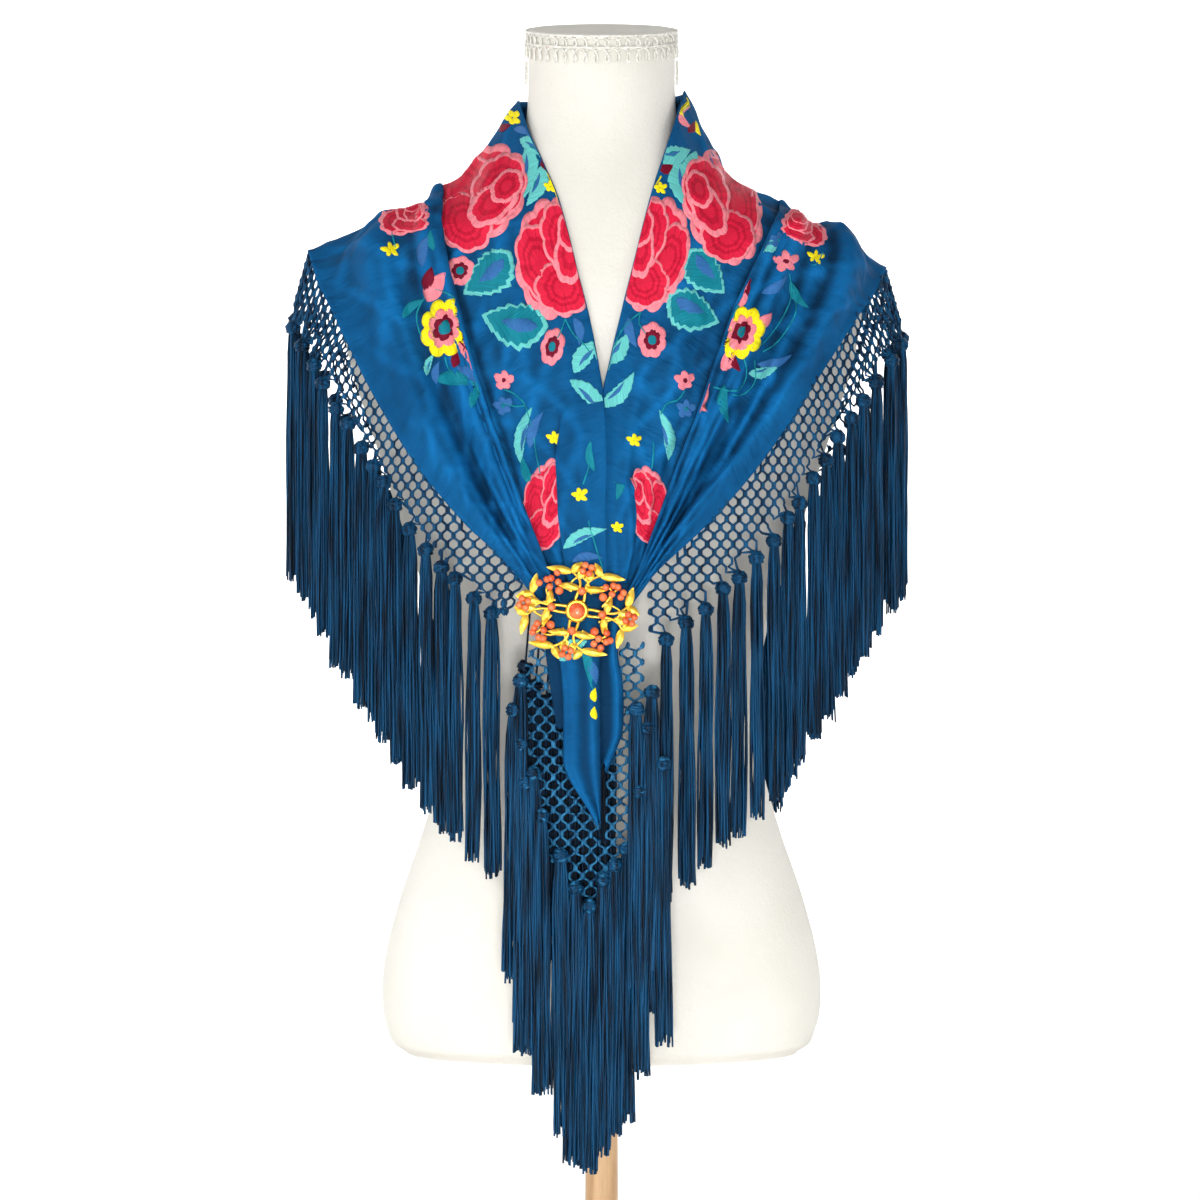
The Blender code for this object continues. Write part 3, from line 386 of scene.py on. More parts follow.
def outward(grid):
    """Unit normals of a grid of points, facing away from the form's middle."""
    normal = unit(np.cross(np.gradient(grid, axis=0), np.gradient(grid, axis=1)))
    away = grid.mean(axis=(0, 1)) - np.array((0, 0, FORM_MIDDLE))
    facing = np.sign(np.dot(normal.mean(axis=(0, 1)), away))
    return normal * (facing if facing else 1.0)


DRAPE = fine_drape()
DRAPE_NORMALS = outward(DRAPE)


def fold_relief(rows, shares):
    """Height of the rolled folds at each row and share."""
    height = np.zeros_like(shares)
    for side, brooch, middle, shoulder, steep, gentle, size, first, last in FRONT_FOLDS:
        distance = rows if side == "left" else LAST_ROW - rows
        way = np.clip(distance / LEFT_SHOULDER, 0, 1.3)
        centre = brooch + way * (4 * middle - 3 * brooch - shoulder)
        centre = centre + way ** 2 * (2 * brooch + 2 * shoulder - 4 * middle)
        offset = shares - centre
        fold = bell(offset, np.where(offset < 0, steep, gentle))
        fade = inside((first - 0.4, first + 1.2), (last - 2.2, last + 0.6), distance)
        flatter = 1 - SHOULDER_FLATTENING * ramp(*FLATTER_ROWS, distance)
        height += FOLD_STRENGTH * size * fade * fold * flatter
    for neck_row, hem_row, half, size, start in BACK_FOLDS:
        centre = neck_row + (hem_row - neck_row) * shares
        fold = bell(rows - centre, half * (0.55 + 0.6 * shares))
        height += BACK_STRENGTH * size * fold * ramp(start - 0.1, start + 0.35, shares)
    for lean, pitch, phase, size in WRINKLES:
        sway = 1.7 * np.sin(rows * 0.9 + 5 * shares)
        wave = np.sin(2 * math.pi * (shares * lean + rows) / pitch + phase + sway)
        height += size * np.maximum(wave, 0) ** 3 * inside(*WRINKLED_SHARES, shares)
    return height + HEM_ROLL * inside(*HEM_SHARES, shares)


def sample(table, rows, shares):
    """Bilinear value of a drape table at matching arrays of rows and shares."""
    down = np.clip(rows, 0, LAST_ROW) * GRID_PER_ROW * FINE
    across = np.clip(shares, 0, 1) * (table.shape[1] - 1)
    low_r = np.minimum(np.floor(down).astype(int), table.shape[0] - 2)
    low_c = np.minimum(np.floor(across).astype(int), table.shape[1] - 2)
    part_r = (down - low_r)[..., None]
    part_c = (across - low_c)[..., None]
    first = table[low_r, low_c] * (1 - part_c) + table[low_r, low_c + 1] * part_c
    second = table[low_r + 1, low_c] * (1 - part_c) + table[low_r + 1, low_c + 1] * part_c
    return first * (1 - part_r) + second * part_r


def shawl_points(rows, shares, lift):
    """Points of the shawl at matching arrays of rows and shares, lifted off the drape."""
    normals = unit(sample(DRAPE_NORMALS, rows, shares))
    points = sample(DRAPE, rows, shares)
    points = points + normals * (lift + fold_relief(rows, shares))[..., None]
    return push_clear(points, FORM_CLEAR + np.minimum(lift, 0))


# ---------------------------------------------------------------- materials
def linear(colour):
    """Linear values of a colour given as 0 to 255."""
    return tuple(((c / 255 + 0.055) / 1.055) ** 2.4 if c > 10 else c / 255 / 12.92 for c in colour)


def finish(name, colour, roughness, metallic=0.0, sheen=0.0, sheen_tint=(1, 1, 1), specular=0.5):
    """A new finish and its shader."""
    made = bpy.data.materials.new(name)
    made.use_nodes = True
    shader = made.node_tree.nodes["Principled BSDF"]
    settings = {
        "Base Color": (*colour, 1), "Roughness": roughness, "Metallic": metallic,
        "Specular IOR Level": specular, "Sheen Weight": sheen, "Sheen Roughness": 0.4,
        "Sheen Tint": (*sheen_tint, 1),
    }
    for socket, value in settings.items():
        shader.inputs[socket].default_value = value
    return made, shader


def object_place(tree):
    """The piece's own coordinates in metres."""
    return tree.nodes.new("ShaderNodeTexCoord").outputs["Object"]


def uv_place(tree, layer):
    """Coordinates along the surface, from one of the piece's UV maps."""
    uv = tree.nodes.new("ShaderNodeUVMap")
    uv.uv_map = layer
    return uv.outputs["UV"]


def attribute(tree, name):
    """The node that reads one of the piece's attributes."""
    node = tree.nodes.new("ShaderNodeAttribute")
    node.attribute_name = name
    return node


def noise(tree, place, scale, detail=3.0, stretch=None):
    """A noise texture on the given coordinates; stretch scales them by axis."""
    if stretch is not None:
        mapping = tree.nodes.new("ShaderNodeMapping")
        mapping.inputs["Scale"].default_value = stretch
        tree.links.new(place, mapping.inputs["Vector"])
        place = mapping.outputs["Vector"]
    texture = tree.nodes.new("ShaderNodeTexNoise")
    texture.inputs["Scale"].default_value = scale
    texture.inputs["Detail"].default_value = detail
    tree.links.new(place, texture.inputs["Vector"])
    return texture.outputs["Fac"]


def tinted(tree, shader, amount, colours, places=(0.3, 0.7)):
    """Colour the shader from dark to light by an amount between 0 and 1."""
    colour = tree.nodes.new("ShaderNodeValToRGB")
    for stop, value, place in zip(colour.color_ramp.elements, colours, places):
        stop.color = (*value, 1)
        stop.position = place
    tree.links.new(amount, colour.inputs["Fac"])
    tree.links.new(colour.outputs["Color"], shader.inputs["Base Color"])
    return colour.outputs["Color"]


def scaled(tree, shader, colour, amount, reach, factors):
    """Brighten or darken a colour by an amount that runs over the given reach."""
    spread_out = tree.nodes.new("ShaderNodeMapRange")
    for socket, value in zip(("From Min", "From Max", "To Min", "To Max"), (*reach, *factors)):
        spread_out.inputs[socket].default_value = value
    tree.links.new(amount, spread_out.inputs["Value"])
    mix = tree.nodes.new("ShaderNodeVectorMath")
    mix.operation = "SCALE"
    tree.links.new(colour, mix.inputs[0])
    tree.links.new(spread_out.outputs["Result"], mix.inputs["Scale"])
    tree.links.new(mix.outputs["Vector"], shader.inputs["Base Color"])


def bumped(tree, shader, heights):
    """Bump from a list of (height socket, distance in metres)."""
    previous = None
    for height, distance in heights:
        bump = tree.nodes.new("ShaderNodeBump")
        bump.inputs["Distance"].default_value = distance
        bump.inputs["Strength"].default_value = 1.0
        tree.links.new(height, bump.inputs["Height"])
        if previous is not None:
            tree.links.new(previous, bump.inputs["Normal"])
        previous = bump.outputs["Normal"]
    tree.links.new(previous, shader.inputs["Normal"])


def crepe_finish():
    """Blue silk crepe: a fine pebbled weave, soft wear of colour, small creases; painted shade in
    troughs and beside folds, painted highlight on crests.
    """
    made, shader = finish("blue_crepe", linear((12, 82, 132)), 0.80, sheen=0.05,
                          sheen_tint=linear((60, 150, 205)), specular=0.12)
    tree = made.node_tree
    weave = uv_place(tree, "weave")
    cloud = noise(tree, object_place(tree), 14.0, 4.0)
    tone = tinted(tree, shader, cloud, (linear((3, 72, 120)), linear((8, 96, 154))))
    # Painted shade and highlight: the attribute darkens the colour in troughs and beside folds,
    # and lightens it on crests.
    scaled(tree, shader, tone, attribute(tree, "painted_shading").outputs["Fac"], (-0.5, 1.0), (1.25, 0.28))
    crumple = noise(tree, weave, 20.0, 2.0, (0.5, 1.0, 1.0))
    crinkle = noise(tree, weave, 70.0, 3.0, (0.35, 1.0, 1.0))
    grain = noise(tree, weave, 1500.0, 2.0, (1.0, 0.6, 1.0))
    bumped(tree, shader, ((crumple, 0.0100), (crinkle, 0.0044), (grain, 0.00016)))
    return made


def thread_finish():
    """Satin stitch: the thread's own colour, with stitches that run along the patch."""
    made, shader = finish("satin_stitch", (0.5, 0.5, 0.5), 0.58, specular=0.14)
    tree = made.node_tree
    rows = noise(tree, uv_place(tree, "stitch"), 900.0, 2.0, (1.0, 0.06, 1.0))
    tone = attribute(tree, "thread").outputs["Color"]
    scaled(tree, shader, tone, rows, (0.3, 0.7), (0.72, 1.12))
    bumped(tree, shader, ((rows, 0.0003),))
    return made


def mottled(name, base, roughness, tones, pattern, bumps, places=(0.3, 0.7), **settings):
    """A finish whose tone varies softly over the piece.

    pattern is the noise of the tone: its scale, detail and stretch. bumps are rows of a
    height in metres and the noise that it follows. tones are the dark and the light colour.
    """
    made, shader = finish(name, linear(base), roughness, **settings)
    tree = made.node_tree
    place = object_place(tree)
    tones = [linear(tone) for tone in tones]
    tinted(tree, shader, noise(tree, place, *pattern), tones, places)
    bumped(tree, shader, [(noise(tree, place, *grain), height) for height, *grain in bumps])
    return made


def silk_finish(name, dark, light):
    """Dyed silk cord with a satin gleam and fine twist."""
    return mottled(name, light, 0.5, (dark, light), (380.0, 2.0, (1.0, 1.0, 0.04)),
                   ((0.0002, 1500.0, 2.0, (1.0, 1.0, 0.5)),), (0.36, 0.64), specular=0.14)


CREPE = crepe_finish()
THREAD = thread_finish()
SILK = silk_finish("blue_silk_strands", (2, 20, 36), (12, 72, 112))
NET_SILK = silk_finish("blue_silk_net", (3, 30, 54), (16, 80, 122))
# A lighter copy of the net's silk for the hanging ends' net and knots: painted light.
PAINTED_LIGHT_HANGING_SILK = silk_finish("blue_silk_hanging_net", (8, 54, 88), (48, 120, 164))
# A darker copy of the tassels' silk for the tassels hidden behind the left lobe: painted shade.
PAINTED_SHADE_SILK = silk_finish("blue_silk_painted_shade", (2, 12, 22), (8, 36, 60))
STEM_THREAD = silk_finish("teal_stem_thread", (14, 118, 134), (26, 156, 168))
# Cream cotton jersey, stretched over the form.
COTTON = mottled("cream_cotton", (230, 227, 218), 0.9, ((225, 222, 212), (235, 232, 224)),
                 (9.0, 4.0), ((0.0004, 240.0, 3.0), (0.00025, 1400.0, 1.0, (1.0, 1.0, 0.45))),
                 sheen=0.05, specular=0.12)
BRAID = mottled("ivory_gimp", (240, 238, 230), 0.7, ((214, 210, 198), (250, 249, 243)),
                (420.0, 2.0), ((0.0003, 2200.0, 2.0),), sheen=0.2)
# Oiled beech with long grain.
WOOD = mottled("oiled_beech", (196, 160, 118), 0.42, ((168, 128, 88), (212, 178, 136)),
               (26.0, 6.0, (6.0, 1.0, 0.6)), ((0.0001, 220.0, 3.0, (6.0, 1.0, 0.6)),),
               (0.25, 0.75), specular=0.4)
# Cast gilt metal, softly polished, darker in places.
GILT = mottled("polished_gilt", (252, 208, 70), 0.34, ((240, 182, 50), (255, 222, 96)),
               (180.0, 3.0), ((0.0003, 420.0, 2.0),), metallic=0.9)
CORAL = mottled("orange_coral", (236, 108, 52), 0.25, ((214, 74, 34), (244, 140, 78)),
                (130.0, 3.0), ((0.00008, 600.0, 2.0),), specular=0.6)


# ---------------------------------------------------------------- makers
def add_piece(name, data, coat, slot, *nodes):
    """Show a mesh or curve as a named piece in place of the given solids."""
    obj = bpy.data.objects.new(name, data)
    bpy.context.scene.collection.objects.link(obj)
    data.materials.append(coat)
    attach(obj, "root")
    if nodes:
        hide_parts(*nodes)
    return obj


def smooth_mesh(name, bm):
    """A smooth-shaded mesh from a bmesh, which is freed."""
    data = bpy.data.meshes.new(name)
    bm.to_mesh(data)
    bm.free()
    data.shade_smooth()
    return data


def mesh_piece(name, bm, coat, slot, *nodes, normals=True, sharp=50):
    """A mesh as a piece; edges sharper than `sharp` degrees stay sharp, or none with 0."""
    if normals:
        bmesh.ops.recalc_face_normals(bm, faces=bm.faces)
    data = smooth_mesh(name, bm)
    if sharp:
        data.set_sharp_from_angle(angle=math.radians(sharp))
    return add_piece(name, data, coat, slot, *nodes)


def cord_piece(name, paths, radius, coat, slot, *nodes, sides=0, cyclic=False):
    """Many thin cords as one curve. A path is a list of points, or of (point, thickness)."""
    data = bpy.data.curves.new(name, "CURVE")
    data.dimensions = "3D"
    data.bevel_depth = radius
    data.bevel_resolution = sides
    data.use_fill_caps = not cyclic
    for path in paths:
        points = np.asarray(path, float)
        spline = data.splines.new("POLY")
        spline.points.add(len(points) - 1)
        spline.use_cyclic_u = cyclic
        spline.use_smooth = True
        flat = np.ones((len(points), 4))
        flat[:, :3] = points[:, :3]
        spline.points.foreach_set("co", flat.ravel())
        if points.shape[1] > 3:
            spline.points.foreach_set("radius", points[:, 3].copy())
    return add_piece(name, data, coat, slot, *nodes)


def sheet_mesh(grid):
    """A sheet on a grid of points (rows, columns, xyz)."""
    bm = bmesh.new()
    rows, columns = grid.shape[:2]
    made = bmesh.ops.create_grid(bm, x_segments=columns - 1, y_segments=rows - 1, size=0.5)
    for vert, place in zip(made["verts"], grid.reshape(-1, 3)):
        vert.co = place
    return bm


def grid_faces(count, rows, columns):
    """Corners of the faces between the given rows and columns of a grid `count` wide."""
    starts = [row * count + column for row in rows for column in columns]
    return [(start, start + 1, start + count + 1, start + count) for start in starts]


def walled(obj, thickness, offset, name):
    """Give an open sheet its thickness: offset 0 is to both sides of it."""
    wall = obj.modifiers.new(name, "SOLIDIFY")
    wall.thickness = thickness
    wall.offset = offset
    return obj


def shares_of(count):
    """`count` shares from 0 to 1."""
    return [step / (count - 1) for step in range(count)]


# ---------------------------------------------------------------- the cloth
NECK_TURN = 5            # columns of the turned neck edge
BAND_COLUMNS = 13
BAND_RETURN = 8
INNER_COLUMNS = 26
OUTER_COLUMNS = 50
BAND_LIFT = 0.0034
LEAST_BAND = 0.05        # share of a row where a band that folds out ends
PLEAT_UNDER = 0.09       # share of a row that the pleat hides
BAND_UNDER = 0.10
PLEAT_BULGE = 0.0062     # how far the pleat's rolled edge stands up
PLEAT_HALF = 0.055       # half width of that bulge, as a share of a row
RAISED_ABOVE = 0.0009    # lift above which the cloth belongs to the bulge
TUCKED_BELOW = 0.0010    # lift below which the cloth can lie under a fold and be given painted shade
PLEAT_SHADE, BAND_SHADE = 0.022, 0.020   # shares over which the painted shade beside a fold fades
ROLL_BACK = 0.0025       # how far the points before and after a fold lie back from it
ROLL_INSET = 0.12        # how far they lie inside the two plies, as a share of the gap
FOLD_START = 0.010       # share before a fold where its ply's even points end
TROUGH_DEPTH = 0.0030    # depth of a trough that gets the full painted shade
HANGING_CREST = 0.0046   # height of a hanging end's fold that scales its painted shade and highlight
UNDER_SHADE = 0.9        # painted shade of the ply that hangs under the others
FRONT_DETAIL = 15        # rows of points between two rows of the tables, at the front
BACK_DETAIL = 11
LAP_COLUMNS = 12
LEFT_LAP = (0.0012, -0.0008)     # sideways and forward shift of a front's edge
RIGHT_LAP = (-0.0050, 0.0016)
GATHER_ROWS = 8
GATHER_DROP = 0.026
GATHER_DRAW = 0.42       # share of the width that is drawn in
GATHER_X = -0.012        # where the ends are drawn together
GATHER_BACK = 0.0035
# Rows from the brooch over which things fade.
PLEAT_FADES = (7.3, 9.6)
BULGE_FADES = (5.4, 8.2)
LAP_FADES = (2.4, 3.4)
# Runs of share and lift: the turned neck edge, off its ply; the fold of the band, off its
# inner edge; the fold of the pleat, off its edge.
NECK_ROLL = ((0.030, -0.0014), (0.008, -0.0013), (0.0, -0.0006), (0.004, 0.0))
BAND_TURN = ((0.012, 0.0013), (0.0, 0.0012), (-0.004, 0.0007), (0.0, 0.0001), (0.01, 0.0),
             (0.02, 0.0))
PLEAT_TURN = ((0.02, 0.0015), (0.006, 0.0016), (-0.003, 0.0019), (-0.004, 0.0025), (0.004, 0.0030))
SHADE_PROBES = ((0.0, 0.030), (0.0, -0.030), (0.35, 0.0), (-0.35, 0.0))   # rows, shares


def pleating(distance):
    """How much of the pleat is left at a distance in rows from the brooch, from 1 to 0."""
    return 1 - ramp(*PLEAT_FADES, distance)


def roll(share, low, high):
    """The rounded edge where cloth folds back from one lift to another."""
    inset = ROLL_INSET * (high - low)
    back = share - ROLL_BACK
    return [(back, low + inset), (share, (low + high) / 2), (back, high - inset)]


def offset_run(share, run):
    """A run of (share, lift) pairs moved along to a share."""
    return [(share + step, lift) for step, lift in run]


def straight(first, last, count, lift):
    """Points along a ply, without its first one."""
    shares = np.linspace(first, last, count + 1)[1:]
    return np.stack([shares, np.full(count, lift)], 1)


def neck_turn(lift):
    """The neck edge, turned under in a soft roll, in even steps of its own run."""
    points = np.array([(share, lift + rise) for share, rise in NECK_ROLL])
    marks = np.arange(len(points))
    where = np.linspace(0, len(points) - 1, NECK_TURN)
    return np.stack([np.interp(where, marks, points[:, axis]) for axis in (0, 1)], 1)


def pleat_section(start, count, pleat):
    """The neck-side ply from a share to its fold under the pleat, then the hem-side ply."""
    far = pleat + PLEAT_UNDER
    return [
        straight(start, far - FOLD_START, count, 0.0),
        roll(far, 0.0, 0.0015),
        [(far - 0.015, 0.0015)],
        offset_run(pleat, PLEAT_TURN),
        straight(pleat + 0.004, 1.0, OUTER_COLUMNS, PLY_LIFT),
    ]


def section_with_band(band, pleat):
    """Shares and lifts of the cloth across a front that has both pleats."""
    low = band - min(BAND_UNDER, band * 0.45)
    return np.concatenate([
        neck_turn(BAND_LIFT),
        straight(0.004, band - FOLD_START, BAND_COLUMNS - 2, BAND_LIFT),
        roll(band, BAND_LIFT, 0.0013),
        [(band - 0.012, 0.0013)],
        offset_run(low, BAND_TURN),
        *pleat_section(low + 0.02, INNER_COLUMNS - 2, pleat),
    ])


def section_with_pleat(pleat):
    """Shares and lifts across a front that has only the pleat."""
    before = BAND_COLUMNS + BAND_RETURN + INNER_COLUMNS - 2
    return np.concatenate([neck_turn(0.0), *pleat_section(0.004, before, pleat)])


def open_section(count):
    """Shares and lifts where the cloth lies in one ply."""
    lift = PLY_LIFT / 2
    return np.concatenate([neck_turn(lift), straight(0.004, 1.0, count - NECK_TURN, lift)])


def cloth_rows():
    """Row stations of the sheet, from the left brooch end round the back to the right one."""
    left = np.linspace(0, LEFT_SHOULDER, int(LEFT_SHOULDER) * FRONT_DETAIL + 1)
    back = np.linspace(LEFT_SHOULDER, RIGHT_SHOULDER, 2 * BACK_STEPS * BACK_DETAIL + 1)[1:-1]
    return np.concatenate([left, back, LAST_ROW - left[::-1]])


def cloth_section(row):
    """Shares, lifts, how far the centre band is folded, and the painted shade of the cloth that
    lies under a fold beside its edge.
    """
    table = LEFT_ROWS if row < CENTRE_BACK else RIGHT_ROWS
    distance = min(row, LAST_ROW - row)
    band, pleat = (np.interp(distance, np.arange(len(table)), [r[column] for r in table])
                   for column in (3, 4))
    last_band = sum(1 for r in table if r[3] > 0)
    folded = 1 - float(ramp(last_band - 1.9, last_band - 0.9, distance))
    pleated = float(pleating(distance))
    section = section_with_pleat(pleat)
    section = section * pleated + open_section(len(section)) * (1 - pleated)
    if folded > 0:
        whole = section_with_band(max(band, LEAST_BAND), pleat)
        section = whole * folded + section * (1 - folded)
    shares, lifts = section.T
    # Painted shade: the cloth under the pleat and the band is darkened beside their edges.
    beside_pleat = np.exp(-np.maximum(pleat - shares, 0) / PLEAT_SHADE) * pleated
    beside_band = np.exp(-np.maximum(shares - band, 0) / BAND_SHADE) * folded
    painted_fold_shade = (lifts < TUCKED_BELOW) * np.maximum(beside_pleat, beside_band)
    edge = bell(shares - pleat, PLEAT_HALF) * (lifts > RAISED_ABOVE)
    standing = 1 - float(ramp(*BULGE_FADES, distance))
    lifts = lifts + PLEAT_BULGE * standing * edge * lifts / PLY_LIFT
    return shares, lifts, folded, painted_fold_shade


CLOTH_ROWS = cloth_rows()
CLOTH_SHARES, CLOTH_LIFTS, BAND_FOLDED, PAINTED_FOLD_SHADE = (
    np.array(column) for column in zip(*(cloth_section(row) for row in CLOTH_ROWS)))
ROW_GRID = np.broadcast_to(CLOTH_ROWS[:, None], CLOTH_SHARES.shape)


def lap_fronts(grid):
    """The left front's edge laps over the right one where they meet."""
    lapped = grid.copy()
    for row, place in enumerate(CLOTH_ROWS):
        near = 1 - float(ramp(*LAP_FADES, min(place, LAST_ROW - place)))
        fade = near * np.linspace(1, 0, LAP_COLUMNS)
        for axis, shift in enumerate(LEFT_LAP if place < CENTRE_BACK else RIGHT_LAP):
            lapped[row, :LAP_COLUMNS, axis] += shift * fade
    return lapped


def drawn_in(row):
    """Rows added below an end of the sheet, drawn together behind the brooch."""
    rows = []
    for part in np.linspace(0, 1, GATHER_ROWS + 1)[1:]:
        pulled = row.copy()
        pulled[:, 0] = row[:, 0] * (1 - GATHER_DRAW * part) + GATHER_X * GATHER_DRAW * part
        pulled[:, 1] += GATHER_BACK * part
        pulled[:, 2] -= GATHER_DROP * part
        rows.append(pulled)
    return np.array(rows)


CLOTH_GRID = lap_fronts(shawl_points(ROW_GRID, CLOTH_SHARES, CLOTH_LIFTS))


def cloth_shade():
    """Painted shade of each point: from -0.5, a painted highlight on a crest, to 1 in a deep
    trough.
    """
    here = fold_relief(ROW_GRID, CLOTH_SHARES)
    around = np.zeros_like(here)
    for rows, shares in SHADE_PROBES:
        around += fold_relief(ROW_GRID + rows, CLOTH_SHARES + shares) / len(SHADE_PROBES)
    painted_shading = np.clip((around - here) / TROUGH_DEPTH + PAINTED_FOLD_SHADE, -0.5, 1.0)
    # The gathered ends behind the brooch get painted shade that deepens towards their last rows.
    ends = np.linspace(0.1, 0.9, GATHER_ROWS)[:, None]
    return np.concatenate([np.maximum(painted_shading[:1], ends[::-1]), painted_shading, np.maximum(painted_shading[-1:], ends)])


def corner_uv(data, name, places):
    """A UV map from one (u, v) pair a vertex."""
    corner = np.zeros(len(data.loops), dtype=np.int32)
    data.loops.foreach_get("vertex_index", corner)
    data.uv_layers.new(name=name).data.foreach_set("uv", places[corner].ravel())


def crepe_piece(name, grid, painted_shading, *nodes):
    """A sheet of crepe with its thickness, its weave in metres and its painted shade."""
    obj = mesh_piece(name, sheet_mesh(grid), CREPE, "crepe", *nodes, sharp=0)
    rows, columns = grid.shape[:2]
    down = np.linalg.norm(np.diff(grid, axis=0), axis=2).mean(axis=1)
    over = np.linalg.norm(np.diff(grid, axis=1), axis=2)
    u = np.concatenate([np.zeros((rows, 1)), np.cumsum(over, axis=1)], axis=1)
    v = np.concatenate([[0.0], np.cumsum(down)])[:, None] + np.zeros((rows, columns))
    corner_uv(obj.data, "weave", np.stack([u.ravel(), v.ravel()], axis=1))
    layer = obj.data.attributes.new("painted_shading", "FLOAT", "POINT")
    layer.data.foreach_set("value", np.asarray(painted_shading, np.float32).ravel())
    return walled(obj, CLOTH_SHELL, 0.0, "thickness")


def make_cloth():
    """The whole sheet, with its ends gathered behind the brooch."""
    ends = drawn_in(CLOTH_GRID[0])[::-1], drawn_in(CLOTH_GRID[-1])
    grid = np.concatenate([ends[0], CLOTH_GRID, ends[1]])
    return crepe_piece(
        "shawl_cloth", grid, cloth_shade(),
        "left_front_inner", "left_front_outer", "left_front_band",
        "right_front_inner", "right_front_outer", "right_front_band", "back_panel", "collar_fold")


def tail_grid(outline, depth, rows, columns, waves, tuck):
    """An outline's points with upright folds."""
    table = np.array(outline)
    heights, left, right = along_all(table, rows).T
    across = np.linspace(0, 1, columns)[None, :]
    down = np.linspace(0, 1, rows)[:, None]
    x = left[:, None] * (1 - across) + right[:, None] * across
    y = np.full_like(x, depth)
    z = np.broadcast_to(heights[:, None], x.shape).copy()
    x -= tuck * (1 - across) ** 3
    y += 0.5 * tuck * (1 - across) ** 3
    for place, lean, half, height in waves:
        y -= height * bell(across - place - lean * down, half) * ramp(0.0, 0.35, down)
    z -= 0.004 * ramp(0.75, 1.0, down) * np.sin(across * 7.0 + 0.6)
    return np.stack([x, y, z], axis=2)


def make_tails():
    """The cloth's hanging ends, each with its grid, its own length and its painted shade."""
    made = []
    for name, node, outline, depth, rows, columns, tuck, length, waves in TAIL_PLIES:
        grid = tail_grid(outline, depth, rows, columns, waves, tuck)
        # Painted shade: each hanging end is darkened, less on its folds' crests, which get a
        # little painted highlight; the under ply is darkened in full.
        crest = (depth - grid[:, :, 1]) / HANGING_CREST
        painted_shading = np.clip(0.85 - 1.5 * crest, -0.1, 1.0)
        if name == "hanging_under_ply":
            painted_shading = np.full(grid.shape[:2], UNDER_SHADE)
        made.append((crepe_piece(name, grid, painted_shading, node), grid, length))
    return made


# ---------------------------------------------------------------- satin-stitch embroidery
CRIMSON = linear((224, 32, 66))
WINE = linear((200, 20, 54))
PINK = linear((248, 140, 152))
MAROON = linear((118, 8, 40))
AQUA = linear((104, 202, 198))
TEAL = linear((14, 128, 146))
SLATE = linear((52, 108, 170))
YELLOW = linear((255, 238, 30))
STITCH_HEIGHT = 0.00035
THREAD_DOME = 0.00025    # how far a patch swells above its rim
THREAD_WALL = 0.00025
LEAST_RISE = 0.0001
PLY_COLUMNS = {"band": (3, 15), "inner": (26, 50), "outer": (58, 108), "back": (4, 108)}
INNER_OPEN = 4           # first column of the inner ply where no band lies on it
FRONT_OVER = 0.5         # rows by which a front's flowers may pass the shoulder
BACK_INSET = 1.2         # rows from the shoulders where the back's flowers begin
AIM_REACHES = (0.95, 0.965, 0.98, 1.0)   # where along a ray that misses the cloth is sought
AIM_HEIGHT = 0.04        # distance from which a back motif is laid on
STEM_RISE = 0.0003       # from the cloth to the middle of a stem
STEM_RADIUS = 0.0006


def in_ply(row, side, ply):
    """Whether a row of faces belongs to a ply."""
    place = CLOTH_ROWS[row]
    if ply == "back":
        return LEFT_SHOULDER + BACK_INSET <= place <= RIGHT_SHOULDER - BACK_INSET
    if (place < CENTRE_BACK) != (side == "left") or (ply == "band" and BAND_FOLDED[row] < 0.5):
        return False
    return min(place, LAST_ROW - place) <= LEFT_SHOULDER + FRONT_OVER


def search_tree(grid, faces):
    """Faces of a grid of points as a search tree."""
    return BVHTree.FromPolygons(grid.reshape(-1, 3).tolist(), faces)


def ply_tree(side, ply):
    """The faces of one ply as a search tree."""
    first, last = PLY_COLUMNS[ply]
    faces = []
    for row in range(len(CLOTH_ROWS) - 1):
        if in_ply(row, side, ply):
            bare = ply == "inner" and BAND_FOLDED[row] < 0.35
            columns = range(INNER_OPEN if bare else first, last)
            faces += grid_faces(CLOTH_SHARES.shape[1], (row,), columns)
    return search_tree(CLOTH_GRID, faces)


TREES = {(side, ply): ply_tree(side, ply) for side in ("left", "right")
         for ply in ("band", "inner", "outer")}
TREES["back"] = ply_tree("back", "back")
# A quad half way up the left outer ply tells which way the sheet's faces point.
QUAD_ROW, QUAD_COLUMN = int(np.argmin(np.abs(CLOTH_ROWS - 5))), 80
QUAD = CLOTH_GRID[QUAD_ROW:QUAD_ROW + 2, QUAD_COLUMN:QUAD_COLUMN + 2]
QUAD_NORMAL = np.cross(QUAD[0, 1] - QUAD[0, 0], QUAD[1, 0] - QUAD[0, 0])
TREE_FACING = 1.0 if QUAD_NORMAL[1] < 0 else -1.0


def on_cloth(tree, aim, facing=None):
    """The point of a ply at an aim, as seen by the camera or straight against `facing`."""
    start = EYE if facing is None else aim + facing * AIM_HEIGHT
    way = aim - start
    place, normal, _, _ = tree.ray_cast(start, way.normalized())
    if place is None:
        reaches = AIM_REACHES if facing is None else (1.0,)
        near = [tree.find_nearest(start + way * reach) for reach in reaches]
        place, normal, _, _ = min(near, key=lambda found: found[3])
    return place, normal


